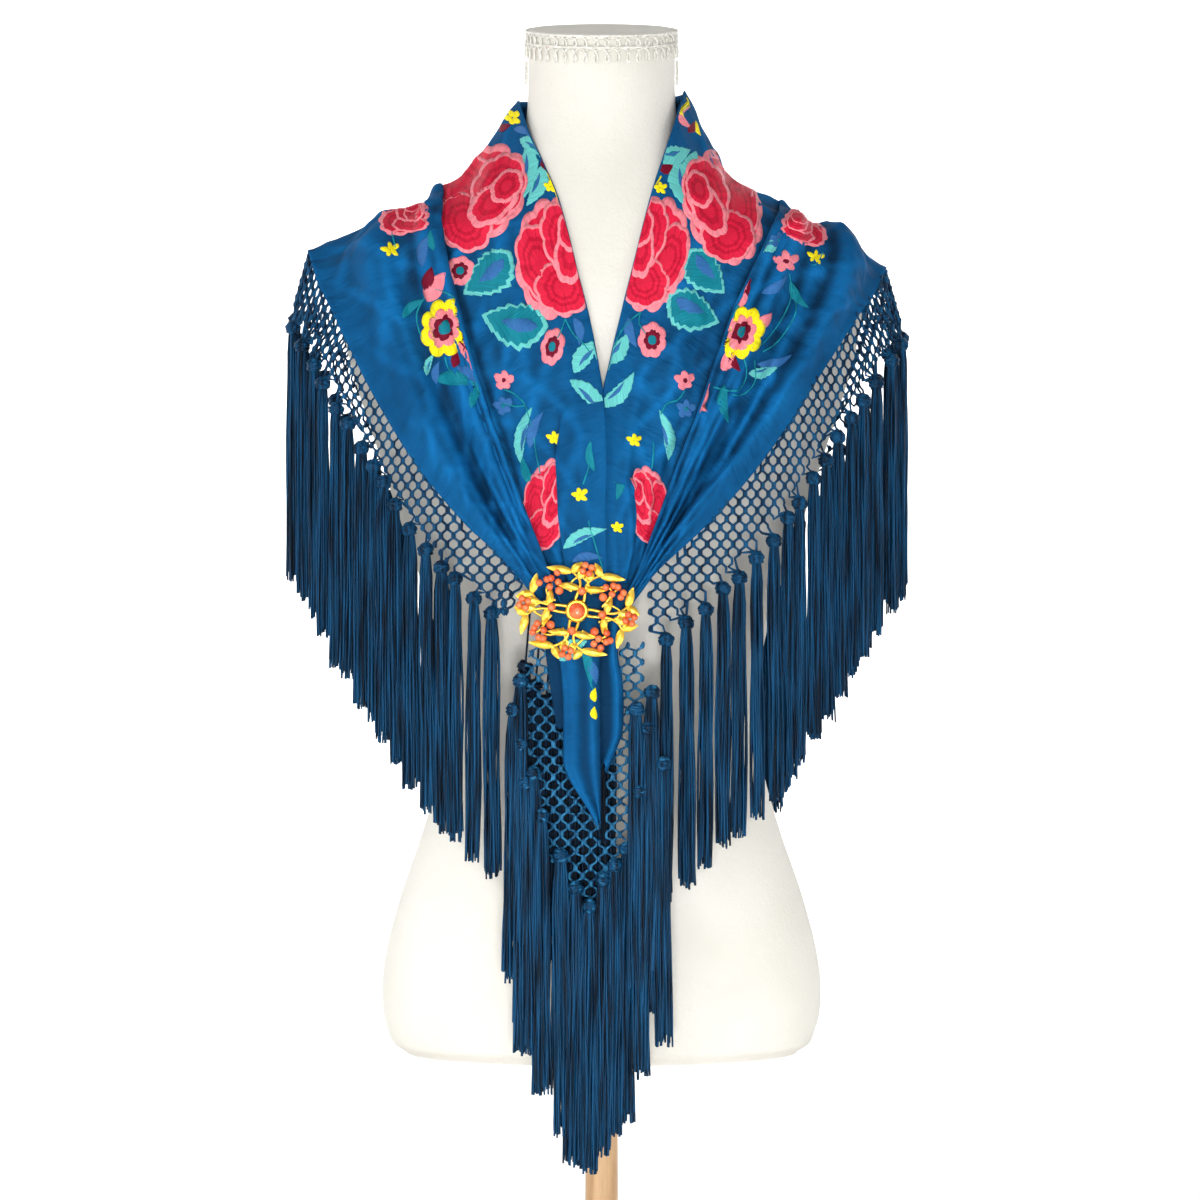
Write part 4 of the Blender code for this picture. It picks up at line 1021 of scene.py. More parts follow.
class Stitching:
    """Collects satin-stitch patches that lie on the cloth, with their colours and stitch runs."""

    def __init__(self):
        self.bm = bmesh.new()
        self.tones = {}
        self.stitches = []

    def patch(self, spot, outline, rings, height=1.0, cells=10, radial=True):
        """One patch: the outline gives its reach (across, up) at each angle.

        rings are (share of the reach, colour) pairs from the middle out, up to a share of 1,
        or one colour. height is in shares of STITCH_HEIGHT.
        """
        tree, centre, across, up = spot
        rings = rings if isinstance(rings[0], tuple) else ((1.0, rings),)
        rise = CLOTH_SHELL / 2 + max(STITCH_HEIGHT * height - THREAD_DOME, LEAST_RISE)
        facing = None
        if centre.y > 0:
            facing = across.cross(up)
            facing = facing if facing.y > 0 else -facing
        made = bmesh.ops.create_grid(self.bm, x_segments=cells, y_segments=cells, size=1.0)
        shares = {}
        for vert in made["verts"]:
            a, b = vert.co.x, vert.co.y
            share = max(abs(a), abs(b))
            angle = math.atan2(b, a) if share > 0 else 0.0
            reach_u, reach_v = outline(angle)
            u, v = reach_u * share, reach_v * share
            place, normal = on_cloth(tree, centre + across * u + up * v, facing)
            swell = rise + THREAD_DOME * (1 - share ** 4)
            vert.co = place + normal * TREE_FACING * swell
            shares[vert] = share
            if radial:
                self.stitches.append((angle * 0.010, math.hypot(u, v)))
            else:
                self.stitches.append((u + abs(v) * 0.8, v))
        for face in {face for vert in made["verts"] for face in vert.link_faces}:
            middle = max(shares[vert] for vert in face.verts) - 1.0 / cells
            colour = next((tone for reach, tone in rings if middle <= reach), rings[-1][1])
            self.tones[face] = colour

    def piece(self, name):
        """The patches as one piece, with the colour of each in an attribute."""
        colours = [(*self.tones[face], 1.0) for face in self.bm.faces for _ in face.verts]
        data = smooth_mesh(name, self.bm)
        corner_uv(data, "stitch", np.array(self.stitches))
        tone = data.color_attributes.new("thread", "FLOAT_COLOR", "CORNER")
        tone.data.foreach_set("color", np.array(colours).ravel())
        obj = add_piece(name, data, THREAD, "crepe")
        return walled(obj, THREAD_WALL, -1.0 if TREE_FACING > 0 else 1.0, "thread_body")


def turned(across, up, turn):
    """Two directions, turned in their own plane by an angle in degrees."""
    angle = math.radians(turn)
    return (across * math.cos(angle) + up * math.sin(angle),
            up * math.cos(angle) - across * math.sin(angle))


def front_spot(tree, x, z, turn):
    """A motif's tree, place and directions in the plane y = 0, as the camera sees it."""
    return tree, Vector((x, 0.0, z)), *turned(Vector((1, 0, 0)), Vector((0, 0, 1)), turn)


def back_spot(row, share, turn):
    """The same on the back, in the plane of the cloth itself."""
    rows, shares = np.array([row]), np.array([share])
    place = Vector(shawl_points(rows, shares, np.array([PLY_LIFT / 2]))[0])
    normal = Vector(sample(DRAPE_NORMALS, rows, shares)[0]).normalized()
    sideways = Vector((-1, 0, 0))
    across = (sideways - normal * sideways.dot(normal)).normalized()
    up = normal.cross(across)
    return TREES["back"], place, *turned(across, -up if up.z < 0 else up, turn)


def moved(spot, u, v, turn=0.0):
    """A spot shifted and turned within its own plane."""
    tree, place, across, up = spot
    return tree, place + across * u + up * v, *turned(across, up, turn)


def scalloped(half_u, half_v, lobes, depth, phase=0.0):
    """A round outline of rounded lobes with notches between them."""
    def outline(angle):
        reach = 1 - depth + 2 * depth * abs(math.sin(lobes * angle / 2 + phase)) ** 0.7
        reach += 0.5 * depth * math.sin(2 * angle + 2 * phase)
        return half_u * reach * math.cos(angle), half_v * reach * math.sin(angle)
    return outline


def lens(half_long, half_wide, bend=0.0, teeth=0):
    """A pointed leaf along the across direction, bent sideways, with a toothed rim."""
    def outline(angle):
        along = math.cos(angle)
        wide = math.copysign(abs(math.sin(angle)) ** 1.7, math.sin(angle)) * (1 - 0.35 * along)
        saw = 1 + (0.30 * ((angle * teeth / math.pi) % 1.0) if teeth else 0.0)
        return half_long * along, half_wide * wide * saw + bend * half_long * (1 - along * along)
    return outline


# Lobes of a rose, in shares of its own size: place, half widths, turn, scallops; lowest first.
ROSE_LOBES = (
    (0.0, 0.0, 0.97, 0.97, 0, 12), (-0.40, -0.06, 0.52, 0.66, 12, 8),
    (0.16, -0.50, 0.70, 0.44, -12, 8), (0.30, 0.30, 0.60, 0.62, 10, 9),
    (0.40, 0.06, 0.40, 0.50, -8, 7), (0.42, 0.42, 0.30, 0.34, 0, 6),
)
PETAL_RISE = 0.00026 / STITCH_HEIGHT     # from a petal of a rose to the one that laps over it
PETAL_RINGS = ((0.30, CRIMSON), (0.39, WINE), (0.56, CRIMSON), (0.64, WINE), (0.88, CRIMSON),
               (1.0, PINK))
SMALL_PETAL_RINGS = ((0.35, CRIMSON), (0.52, WINE), (0.80, CRIMSON), (1.0, PINK))


def rose(work, spot, half_u, half_v, mirror):
    """A full rose: crimson petals with scalloped pink rims, laid over one another."""
    fine = max(half_u, half_v) > 0.025
    for order, (x, z, wide, tall, turn, lobes) in enumerate(ROSE_LOBES):
        place = moved(spot, mirror * x * half_u, z * half_v, mirror * turn)
        rim = scalloped(wide * half_u, tall * half_v, lobes, 0.055, 0.7 * order)
        rings = PETAL_RINGS if fine and wide > 0.4 else SMALL_PETAL_RINGS
        cells = (26 if order == 0 else 18) if fine else 12
        work.patch(place, rim, rings, 1 + PETAL_RISE * order, cells)


def layered(*layers):
    """A maker of round flowers: each layer's half sizes, scallops, notch, colour, rise, cells."""
    def make(work, spot, half_u, half_v, mirror):
        for wide, tall, lobes, notch, colour, height, cells in layers:
            rim = scalloped(half_u * wide, half_v * tall, lobes, notch)
            work.patch(spot, rim, colour, height, cells)
    return make


def leafy(*layers):
    """A maker of leaves: each layer's shift, half sizes, bend, teeth, rings, height and cells."""
    def make(work, spot, half_u, half_v, mirror):
        for u, v, long, wide, bend, teeth, rings, height, cells in layers:
            rim = lens(half_u * long, half_v * wide, bend * mirror, teeth)
            work.patch(moved(spot, u * half_u, half_v * v), rim, rings, height, cells, False)
    return make


def petalled(colour, reaches, turn, petal, notch, heights, cells, heart=None):
    """A maker of small flowers of five petals, with or without a heart."""
    def make(work, spot, half_u, half_v, mirror):
        for number, reach in enumerate(reaches):
            way = turn + 72 * number
            place = moved(spot, half_u * 0.5 * reach * math.cos(math.radians(way)),
                          half_v * 0.5 * reach * math.sin(math.radians(way)), way)
            rim = scalloped(half_u * petal[0] * reach, half_v * petal[1], 3, notch, number)
            work.patch(place, rim, colour, heights[0] + heights[1] * number, cells, False)
        if heart:
            work.patch(spot, scalloped(half_u * 0.18, half_v * 0.18, 3, 0), heart, 2.2, 4)
    return make


def blade(colour):
    """A maker of plain pointed leaves and petals."""
    return leafy((0, 0, 1, 1, 0.22, 0, colour, 1, 10))


def small_bloom(colour, heart):
    """A maker of small flowers with a heart of another colour."""
    reaches = (1.0, 0.82, 1.0, 0.9, 0.78)
    return petalled(colour, reaches, 12, (0.46, 0.30), 0.12, (1, 0.2), 8, heart)


def bud(work, spot, half_u, half_v, mirror):
    """A half-open bud: a maroon petal over a pink one."""
    work.patch(moved(spot, 0.1 * half_u * mirror, -0.2 * half_v, 60),
               lens(half_u, half_v * 0.6, 0.1), PINK, 1, 12, False)
    work.patch(moved(spot, -0.35 * half_u * mirror, 0.35 * half_v, 75),
               lens(half_u * 0.7, half_v * 0.35), MAROON, 1.5, 8, False)


MAKERS = {
    "rose": rose,
    "daisy": layered((1, 1, 7, 0.08, PINK, 1, 14), (0.56, 0.56, 7, 0.12, MAROON, 1.6, 10),
                     (0.30, 0.30, 4, 0.02, TEAL, 2.2, 6)),
    "sunflower": layered((1, 1, 8, 0.10, YELLOW, 2, 20), (0.66, 0.66, 8, 0.12, PINK, 3.0, 16),
                         (0.42, 0.42, 6, 0.14, MAROON, 4.0, 14),
                         (0.24, 0.26, 4, 0.02, TEAL, 5.0, 6)),
    "leaf": leafy((0, 0, 1.14, 1.14, 0.14, 10, ((0.86, TEAL), (1.0, AQUA)), 0.9, 26),
                  (-0.16, 0.10, 0.62, 0.36, 0.1, 5, SLATE, 1.6, 12)),
    "aqua_leaf": leafy((0, 0, 1.10, 0.86, 0.20, 9, ((0.27, TEAL), (1.0, AQUA)), 1, 22),
                       (-0.10, 0.04, 0.58, 0.12, 0.20, 0, SLATE, 1.6, 8)),
    "spark": petalled(YELLOW, (1.0, 0.8, 1.0, 0.75, 0.95), 20, (0.42, 0.25), 0.10, (1.1, 0.1), 6),
    "bud": bud,
    "pink_blade": blade(PINK), "maroon_blade": blade(MAROON), "teal_blade": blade(TEAL),
    "slate_blade": blade(SLATE), "yellow_blade": blade(YELLOW),
    "pink_bloom": small_bloom(PINK, MAROON), "slate_bloom": small_bloom(SLATE, TEAL),
}

# Motifs of the two fronts: kind, ply, place (x, z) as seen from the front on the plane
# through the form's middle, half sizes, turn in degrees. All in metres.
LEFT_MOTIFS = (
    ("rose", "inner", -0.095, 0.89, 0.033, 0.045, -38),
    ("rose", "inner", -0.036, 0.842, 0.031, 0.047, 4),
    ("leaf", "inner", -0.0882, 0.8308, 0.0215, 0.0115, 222),
    ("leaf", "inner", -0.0666, 0.7938, 0.023, 0.013, 170),
    ("daisy", "inner", -0.1089, 0.8323, 0.0108, 0.0108, 0),
    ("daisy", "inner", -0.0377, 0.7738, 0.0085, 0.0138, -8),
    ("sunflower", "outer", -0.1205, 0.7884, 0.0172, 0.021, 0),
    ("bud", "outer", -0.1284, 0.8223, 0.013, 0.012, 0),
    ("pink_blade", "outer", -0.099, 0.769, 0.011, 0.0055, -55),
    ("maroon_blade", "outer", -0.109, 0.766, 0.0095, 0.0038, 60),
    ("maroon_blade", "outer", -0.101, 0.781, 0.008, 0.004, -20),
    ("teal_blade", "outer", -0.1446, 0.8031, 0.0115, 0.0034, 38),
    ("teal_blade", "outer", -0.1122, 0.7464, 0.016, 0.0055, -8),
    ("teal_blade", "outer", -0.095, 0.737, 0.0115, 0.0036, 62),
    ("slate_blade", "outer", -0.1035, 0.752, 0.0105, 0.0038, -40),
    ("aqua_leaf", "outer", -0.132, 0.76, 0.008, 0.0028, 70),
    ("slate_blade", "outer", -0.126, 0.754, 0.009, 0.003, 82),
    ("pink_bloom", "inner", -0.075, 0.748, 0.0085, 0.01, 0),
    ("slate_bloom", "inner", -0.0755, 0.7285, 0.0085, 0.0095, 20),
    ("aqua_leaf", "inner", -0.0597, 0.908, 0.021, 0.0062, 262),
    ("aqua_leaf", "inner", -0.0515, 0.898, 0.0155, 0.0058, 248),
    ("aqua_leaf", "inner", -0.0525, 0.927, 0.011, 0.006, -35),
    ("maroon_blade", "inner", -0.0435, 0.9116, 0.005, 0.0026, -50),
    ("spark", "inner", -0.0393, 0.8972, 0.0062, 0.0062, 0),
    ("spark", "inner", -0.068, 0.95, 0.007, 0.0085, 20),
    ("maroon_blade", "inner", -0.074, 0.942, 0.005, 0.0025, 30),
    ("slate_blade", "inner", -0.06, 0.939, 0.0075, 0.003, -20),
    ("spark", "outer", -0.1625, 0.8485, 0.0085, 0.007, 10),
    ("rose", "outer", -0.152, 0.873, 0.02, 0.013, 15),
    ("slate_blade", "outer", -0.135, 0.848, 0.013, 0.004, 78),
    ("teal_blade", "outer", -0.13, 0.856, 0.008, 0.003, 100),
    ("aqua_leaf", "inner", -0.01, 0.7665, 0.0155, 0.0068, 48),
    ("aqua_leaf", "inner", -0.01, 0.7325, 0.0195, 0.006, -48),
    ("slate_blade", "inner", -0.019, 0.786, 0.011, 0.0036, -80),
    ("rose", "inner", -0.043, 0.652, 0.0185, 0.037, -14),
    ("aqua_leaf", "inner", -0.058, 0.706, 0.02, 0.0042, 78),
    ("slate_blade", "inner", -0.05, 0.71, 0.015, 0.004, 70),
    ("spark", "inner", -0.0366, 0.7037, 0.007, 0.007, 0),
    ("spark", "inner", -0.03, 0.686, 0.006, 0.006, 30),
    ("teal_blade", "inner", -0.056, 0.678, 0.013, 0.0034, 112),
    ("spark", "band", -0.0165, 0.66, 0.0072, 0.0072, 12),
    ("aqua_leaf", "band", -0.013, 0.626, 0.0165, 0.0046, 24),
    ("slate_blade", "band", -0.011, 0.61, 0.012, 0.0036, 8),
    ("teal_blade", "band", -0.007, 0.69, 0.012, 0.003, 98),
)
RIGHT_MOTIFS = (
    ("rose", "inner", 0.093, 0.881, 0.029, 0.045, 22),
    ("rose", "inner", 0.04, 0.845, 0.027, 0.045, -8),
    ("leaf", "inner", 0.0812, 0.832, 0.019, 0.0105, -52),
    ("leaf", "inner", 0.0705, 0.803, 0.02, 0.0115, -28),
    ("daisy", "inner", 0.0389, 0.779, 0.0105, 0.013, 6),
    ("sunflower", "outer", 0.108, 0.7846, 0.015, 0.0195, -14),
    ("pink_blade", "outer", 0.09, 0.792, 0.0095, 0.006, 60),
    ("maroon_blade", "outer", 0.095, 0.778, 0.0075, 0.0038, 152),
    ("pink_blade", "outer", 0.096, 0.765, 0.01, 0.0055, 75),
    ("maroon_blade", "outer", 0.103, 0.763, 0.009, 0.0032, -66),
    ("maroon_blade", "outer", 0.115, 0.796, 0.006, 0.0036, 100),
    ("pink_blade", "outer", 0.124, 0.795, 0.0085, 0.0042, 38),
    ("bud", "outer", 0.109, 0.816, 0.01, 0.008, 20),
    ("pink_bloom", "outer", 0.1417, 0.8395, 0.011, 0.0095, 8),
    ("slate_blade", "outer", 0.133, 0.822, 0.012, 0.0034, 35),
    ("teal_blade", "outer", 0.152, 0.814, 0.0125, 0.0034, -55),
    ("aqua_leaf", "outer", 0.124, 0.756, 0.0105, 0.0042, 12),
    ("slate_blade", "outer", 0.133, 0.764, 0.014, 0.0034, 14),
    ("pink_bloom", "inner", 0.0639, 0.748, 0.0085, 0.0095, 10),
    ("slate_bloom", "inner", 0.065, 0.726, 0.0085, 0.009, 0),
    ("teal_blade", "outer", 0.0963, 0.73, 0.015, 0.0036, -85),
    ("pink_blade", "outer", 0.076, 0.738, 0.012, 0.0036, 78),
    ("spark", "outer", 0.1644, 0.843, 0.008, 0.006, -12),
    ("rose", "outer", 0.156, 0.864, 0.019, 0.011, -30),
    ("aqua_leaf", "outer", 0.131, 0.854, 0.01, 0.0045, 20),
    ("slate_bloom", "outer", 0.136, 0.856, 0.008, 0.007, 0),
    ("aqua_leaf", "inner", 0.055, 0.923, 0.012, 0.008, 10),
    ("aqua_leaf", "inner", 0.062, 0.9, 0.018, 0.0062, 282),
    ("aqua_leaf", "inner", 0.07, 0.908, 0.015, 0.006, 262),
    ("maroon_blade", "inner", 0.05, 0.912, 0.006, 0.004, 20),
    ("spark", "inner", 0.045, 0.896, 0.0062, 0.0062, 0),
    ("pink_blade", "inner", 0.064, 0.948, 0.0075, 0.0024, -50),
    ("yellow_blade", "inner", 0.061, 0.956, 0.006, 0.0015, -70),
    ("maroon_blade", "inner", 0.069, 0.943, 0.005, 0.003, 60),
    ("yellow_blade", "inner", 0.074, 0.942, 0.006, 0.0018, -70),
    ("aqua_leaf", "inner", 0.011, 0.773, 0.014, 0.0066, 50),
    ("aqua_leaf", "inner", 0.012, 0.741, 0.017, 0.006, 45),
    ("slate_blade", "inner", 0.024, 0.785, 0.012, 0.0038, -75),
    ("rose", "inner", 0.0365, 0.651, 0.016, 0.031, 12),
    ("spark", "inner", 0.025, 0.702, 0.0065, 0.0065, 0),
    ("aqua_leaf", "inner", 0.048, 0.706, 0.018, 0.004, 100),
    ("teal_blade", "band", 0.012, 0.67, 0.014, 0.003, 88),
    ("spark", "band", 0.012, 0.635, 0.0055, 0.0055, 0),
)
# Motifs of the back: kind, row, share of the row, half sizes, turn in degrees.
BACK_MOTIFS = (
    ("rose", 12.6, 0.34, 0.036, 0.04, 8), ("rose", 17.3, 0.3, 0.034, 0.042, -12),
    ("rose", 15.0, 0.56, 0.044, 0.04, 0), ("rose", 10.7, 0.46, 0.028, 0.032, 20),
    ("rose", 19.2, 0.44, 0.028, 0.03, -20), ("sunflower", 13.6, 0.46, 0.017, 0.018, 0),
    ("sunflower", 16.4, 0.44, 0.018, 0.017, 0), ("daisy", 15.0, 0.34, 0.012, 0.012, 0),
    ("daisy", 12.0, 0.6, 0.011, 0.012, 0), ("daisy", 18.1, 0.58, 0.012, 0.011, 0),
    ("leaf", 13.6, 0.6, 0.024, 0.013, 215), ("leaf", 16.5, 0.61, 0.024, 0.013, -35),
    ("leaf", 14.1, 0.25, 0.022, 0.012, 130), ("leaf", 16.0, 0.22, 0.021, 0.012, 50),
    ("leaf", 11.8, 0.47, 0.021, 0.011, 245), ("leaf", 18.4, 0.46, 0.021, 0.011, -65),
    ("aqua_leaf", 15.0, 0.72, 0.026, 0.007, 268), ("aqua_leaf", 14.5, 0.74, 0.02, 0.006, 240),
    ("aqua_leaf", 15.5, 0.74, 0.02, 0.006, 300), ("pink_bloom", 14.3, 0.8, 0.01, 0.01, 0),
    ("pink_bloom", 15.8, 0.79, 0.01, 0.01, 30), ("slate_bloom", 13.0, 0.7, 0.01, 0.01, 0),
    ("slate_bloom", 17.1, 0.7, 0.01, 0.01, 0), ("spark", 11.2, 0.64, 0.008, 0.008, 0),
    ("spark", 18.9, 0.62, 0.008, 0.008, 0), ("spark", 15.0, 0.84, 0.008, 0.008, 0),
    ("bud", 12.4, 0.74, 0.013, 0.012, 0), ("bud", 17.7, 0.75, 0.013, 0.012, 0),
    ("teal_blade", 13.3, 0.79, 0.014, 0.004, 60), ("teal_blade", 16.8, 0.8, 0.014, 0.004, 120),
    ("pink_blade", 11.5, 0.3, 0.012, 0.005, 60), ("maroon_blade", 18.6, 0.28, 0.011, 0.004, 120),
    ("teal_blade", 15.0, 0.2, 0.014, 0.004, 90), ("spark", 13.2, 0.22, 0.008, 0.008, 0),
    ("spark", 16.9, 0.2, 0.008, 0.008, 0),
)
# Motifs of the left hanging end: kind, place, half sizes, turn in degrees.
TAIL_MOTIFS = (
    ("aqua_leaf", -0.0215, 0.54, 0.012, 0.0062, 35),
    ("slate_blade", -0.0085, 0.524, 0.011, 0.0036, -68),
    ("teal_blade", -0.0125, 0.529, 0.015, 0.003, -72),
    ("yellow_blade", -0.0052, 0.506, 0.0055, 0.0022, 88),
    ("yellow_blade", -0.0052, 0.492, 0.005, 0.0022, 96),
)
# Stems of the fronts: side, ply, points (x, z) as seen from the front.
STEMS = (
    ("left", "tail", ((-0.015, 0.544), (-0.013, 0.53), (-0.0095, 0.519), (-0.0065, 0.51))),
    ("left", "outer", ((-0.12, 0.766), (-0.117, 0.757), (-0.109, 0.75), (-0.097, 0.747), (-0.086,
     0.745))),
    ("left", "outer", ((-0.136, 0.812), (-0.142, 0.799), (-0.14, 0.786), (-0.136, 0.778))),
    ("left", "outer", ((-0.128, 0.818), (-0.118, 0.815), (-0.11, 0.806), (-0.103, 0.792))),
    ("left", "inner", ((-0.028, 0.795), (-0.031, 0.787), (-0.034, 0.78))),
    ("left", "inner", ((-0.028, 0.795), (-0.022, 0.784), (-0.014, 0.776), (-0.008, 0.768))),
    ("left", "inner", ((-0.075, 0.741), (-0.066, 0.737), (-0.058, 0.728), (-0.054, 0.712))),
    ("left", "inner", ((-0.075, 0.73), (-0.066, 0.728), (-0.058, 0.729))),
    ("left", "outer", ((-0.162, 0.862), (-0.16, 0.855), (-0.158, 0.85))),
    ("left", "band", ((-0.01, 0.64), (-0.006, 0.625), (0.0, 0.606), (0.001, 0.596))),
    ("left", "band", ((-0.008, 0.7), (-0.009, 0.685), (-0.014, 0.668))),
    ("left", "inner", ((-0.052, 0.704), (-0.05, 0.69), (-0.047, 0.676))),
    ("right", "outer", ((0.144, 0.83), (0.146, 0.815), (0.142, 0.802), (0.133, 0.787), (0.122,
     0.775))),
    ("right", "outer", ((0.147, 0.818), (0.15, 0.804), (0.146, 0.792), (0.136, 0.778), (0.124,
     0.77))),
    ("right", "outer", ((0.11, 0.764), (0.111, 0.752), (0.106, 0.742), (0.098, 0.74), (0.086,
     0.743))),
    ("right", "outer", ((0.117, 0.764), (0.118, 0.748), (0.11, 0.738), (0.101, 0.737))),
    ("right", "outer", ((0.09, 0.796), (0.094, 0.806), (0.1, 0.806))),
    ("right", "inner", ((0.03, 0.8), (0.029, 0.792), (0.034, 0.784))),
    ("right", "inner", ((0.03, 0.8), (0.022, 0.794), (0.014, 0.784), (0.01, 0.774))),
    ("right", "inner", ((0.064, 0.74), (0.058, 0.733), (0.05, 0.73), (0.046, 0.722))),
    ("right", "outer", ((0.17, 0.846), (0.166, 0.838), (0.162, 0.836))),
    ("right", "inner", ((0.04, 0.7), (0.04, 0.69), (0.038, 0.68))),
)


def embroider(name, motifs, mirror=1):
    """One piece from rows of a kind, its spot and its half sizes."""
    work = Stitching()
    for kind, spot, half_u, half_v in motifs:
        MAKERS[kind](work, spot, half_u, half_v, mirror)
    return work.piece(name)


def make_embroidery(lobe_grid):
    """All the flowers and stems, of which some lie on the left hanging lobe."""
    rows, columns = (count - 1 for count in lobe_grid.shape[:2])
    faces = grid_faces(columns + 1, range(rows), range(columns))
    if TREE_FACING > 0:
        faces = [face[::-1] for face in faces]
    lobe = TREES[("left", "tail")] = search_tree(lobe_grid, faces)
    pieces = [embroider("hanging_lobe_flowers", [
        (kind, front_spot(lobe, x, z, turn), half_u, half_v)
        for kind, x, z, half_u, half_v, turn in TAIL_MOTIFS])]
    for side, motifs, mirror in (("left", LEFT_MOTIFS, 1), ("right", RIGHT_MOTIFS, -1)):
        pieces.append(embroider(f"{side}_front_flowers", [
            (kind, front_spot(TREES[(side, ply)], x, z, turn), half_u, half_v)
            for kind, ply, x, z, half_u, half_v, turn in motifs], mirror))
    pieces.append(embroider("back_flowers", [
        (kind, back_spot(row, share, turn), half_u, half_v)
        for kind, row, share, half_u, half_v, turn in BACK_MOTIFS]))
    paths = []
    for side, ply, points in STEMS:
        path = []
        for x, z in along_all(points, 8 * len(points)):
            place, normal = on_cloth(TREES[(side, ply)], Vector((x, 0.0, z)))
            normal = normal if normal.y < 0 else -normal
            path.append(place + normal * (CLOTH_SHELL / 2 + STEM_RISE))
        paths.append(path)
    pieces.append(cord_piece("stitched_stems", paths, STEM_RADIUS, STEM_THREAD, "crepe"))
    return pieces


# ---------------------------------------------------------------- the net and the tassels
MESH_HALF = (0.0056, 0.0045)     # level run between two threads: at the brooch, elsewhere
MESH_STEP = 0.0062       # height of half a mesh
MESH_FADE = 0.11         # level run over which the meshes shrink to their common size
NET_CORD = 0.00105       # radius of a thread
HANGING_HALF = 0.0054    # the same for the hanging ends' nets
HANGING_STEP = 0.0060
POINTS_A_STEP = 3        # points of a thread in half a mesh
TOUCHING = 0.34          # how long neighbours stay together: less is longer
OVERLAP = 0.7            # share of its radius that a thread keeps clear of its neighbour
NET_END = 0.80           # share of the net's depth where the meshes end in loops
HEM_SHARE = 0.990        # share of a row where the net starts
SHOULDER_GAP = 0.05      # rows left free at each side of a shoulder
POINT_GAP = 0.02         # the same at the point of the back
STRANDS = 26
HANGING_STRANDS = 34
HANGING_SKIRT = 1.18     # how much wider a tassel of the hanging ends is
STRAND_RADIUS = 0.00086
STRAND_POINTS = 9
KNOT_RADIUS = 0.0061
GOLDEN_ANGLE = 2.399963  # spreads the strands evenly over a round skirt
# A tassel's half width and half depth: shares of its length, half sizes there.
SKIRT_WIDE = ((0, 0.05, 0.18, 0.55, 1), (0.0032, 0.0045, 0.0050, 0.0055, 0.0060))
SKIRT_DEEP = ((0, 0.05, 0.18, 1), (0.0028, 0.0038, 0.0041, 0.0043))
WRAP_TILTS = (0.45, -0.55, 0.95, -0.15)  # of the four turns of cord round a knot
WRAP_POINTS = 10
HIDDEN_TASSELS = 9       # of the end that hangs behind the left lobe
HIDDEN_STRANDS = 30
HIDDEN_PLACE = (-0.0560, -0.1270, 0.5300)
HIDDEN_STEP = 0.0076
HIDDEN_TIE = (0.004, -0.003, 0.045)
ACROSS = np.array((1.0, 0.0, 0.0))


def swung(mark, number, swing):
    """Sideways shift of a thread at a point: neighbours swing apart and touch in turn."""
    turn = math.cos(math.pi * (mark / POINTS_A_STEP + number))
    return turn, swing * math.copysign(abs(turn) ** TOUCHING, turn)


def is_knot(mark, turn):
    """Whether a thread is tied to its neighbour at a point."""
    return mark % POINTS_A_STEP == 0 and turn > 0


def line_point(where, run, line):
    """The point of a line at a run along it."""
    return np.array([np.interp(where, run, line[:, axis]) for axis in range(3)])


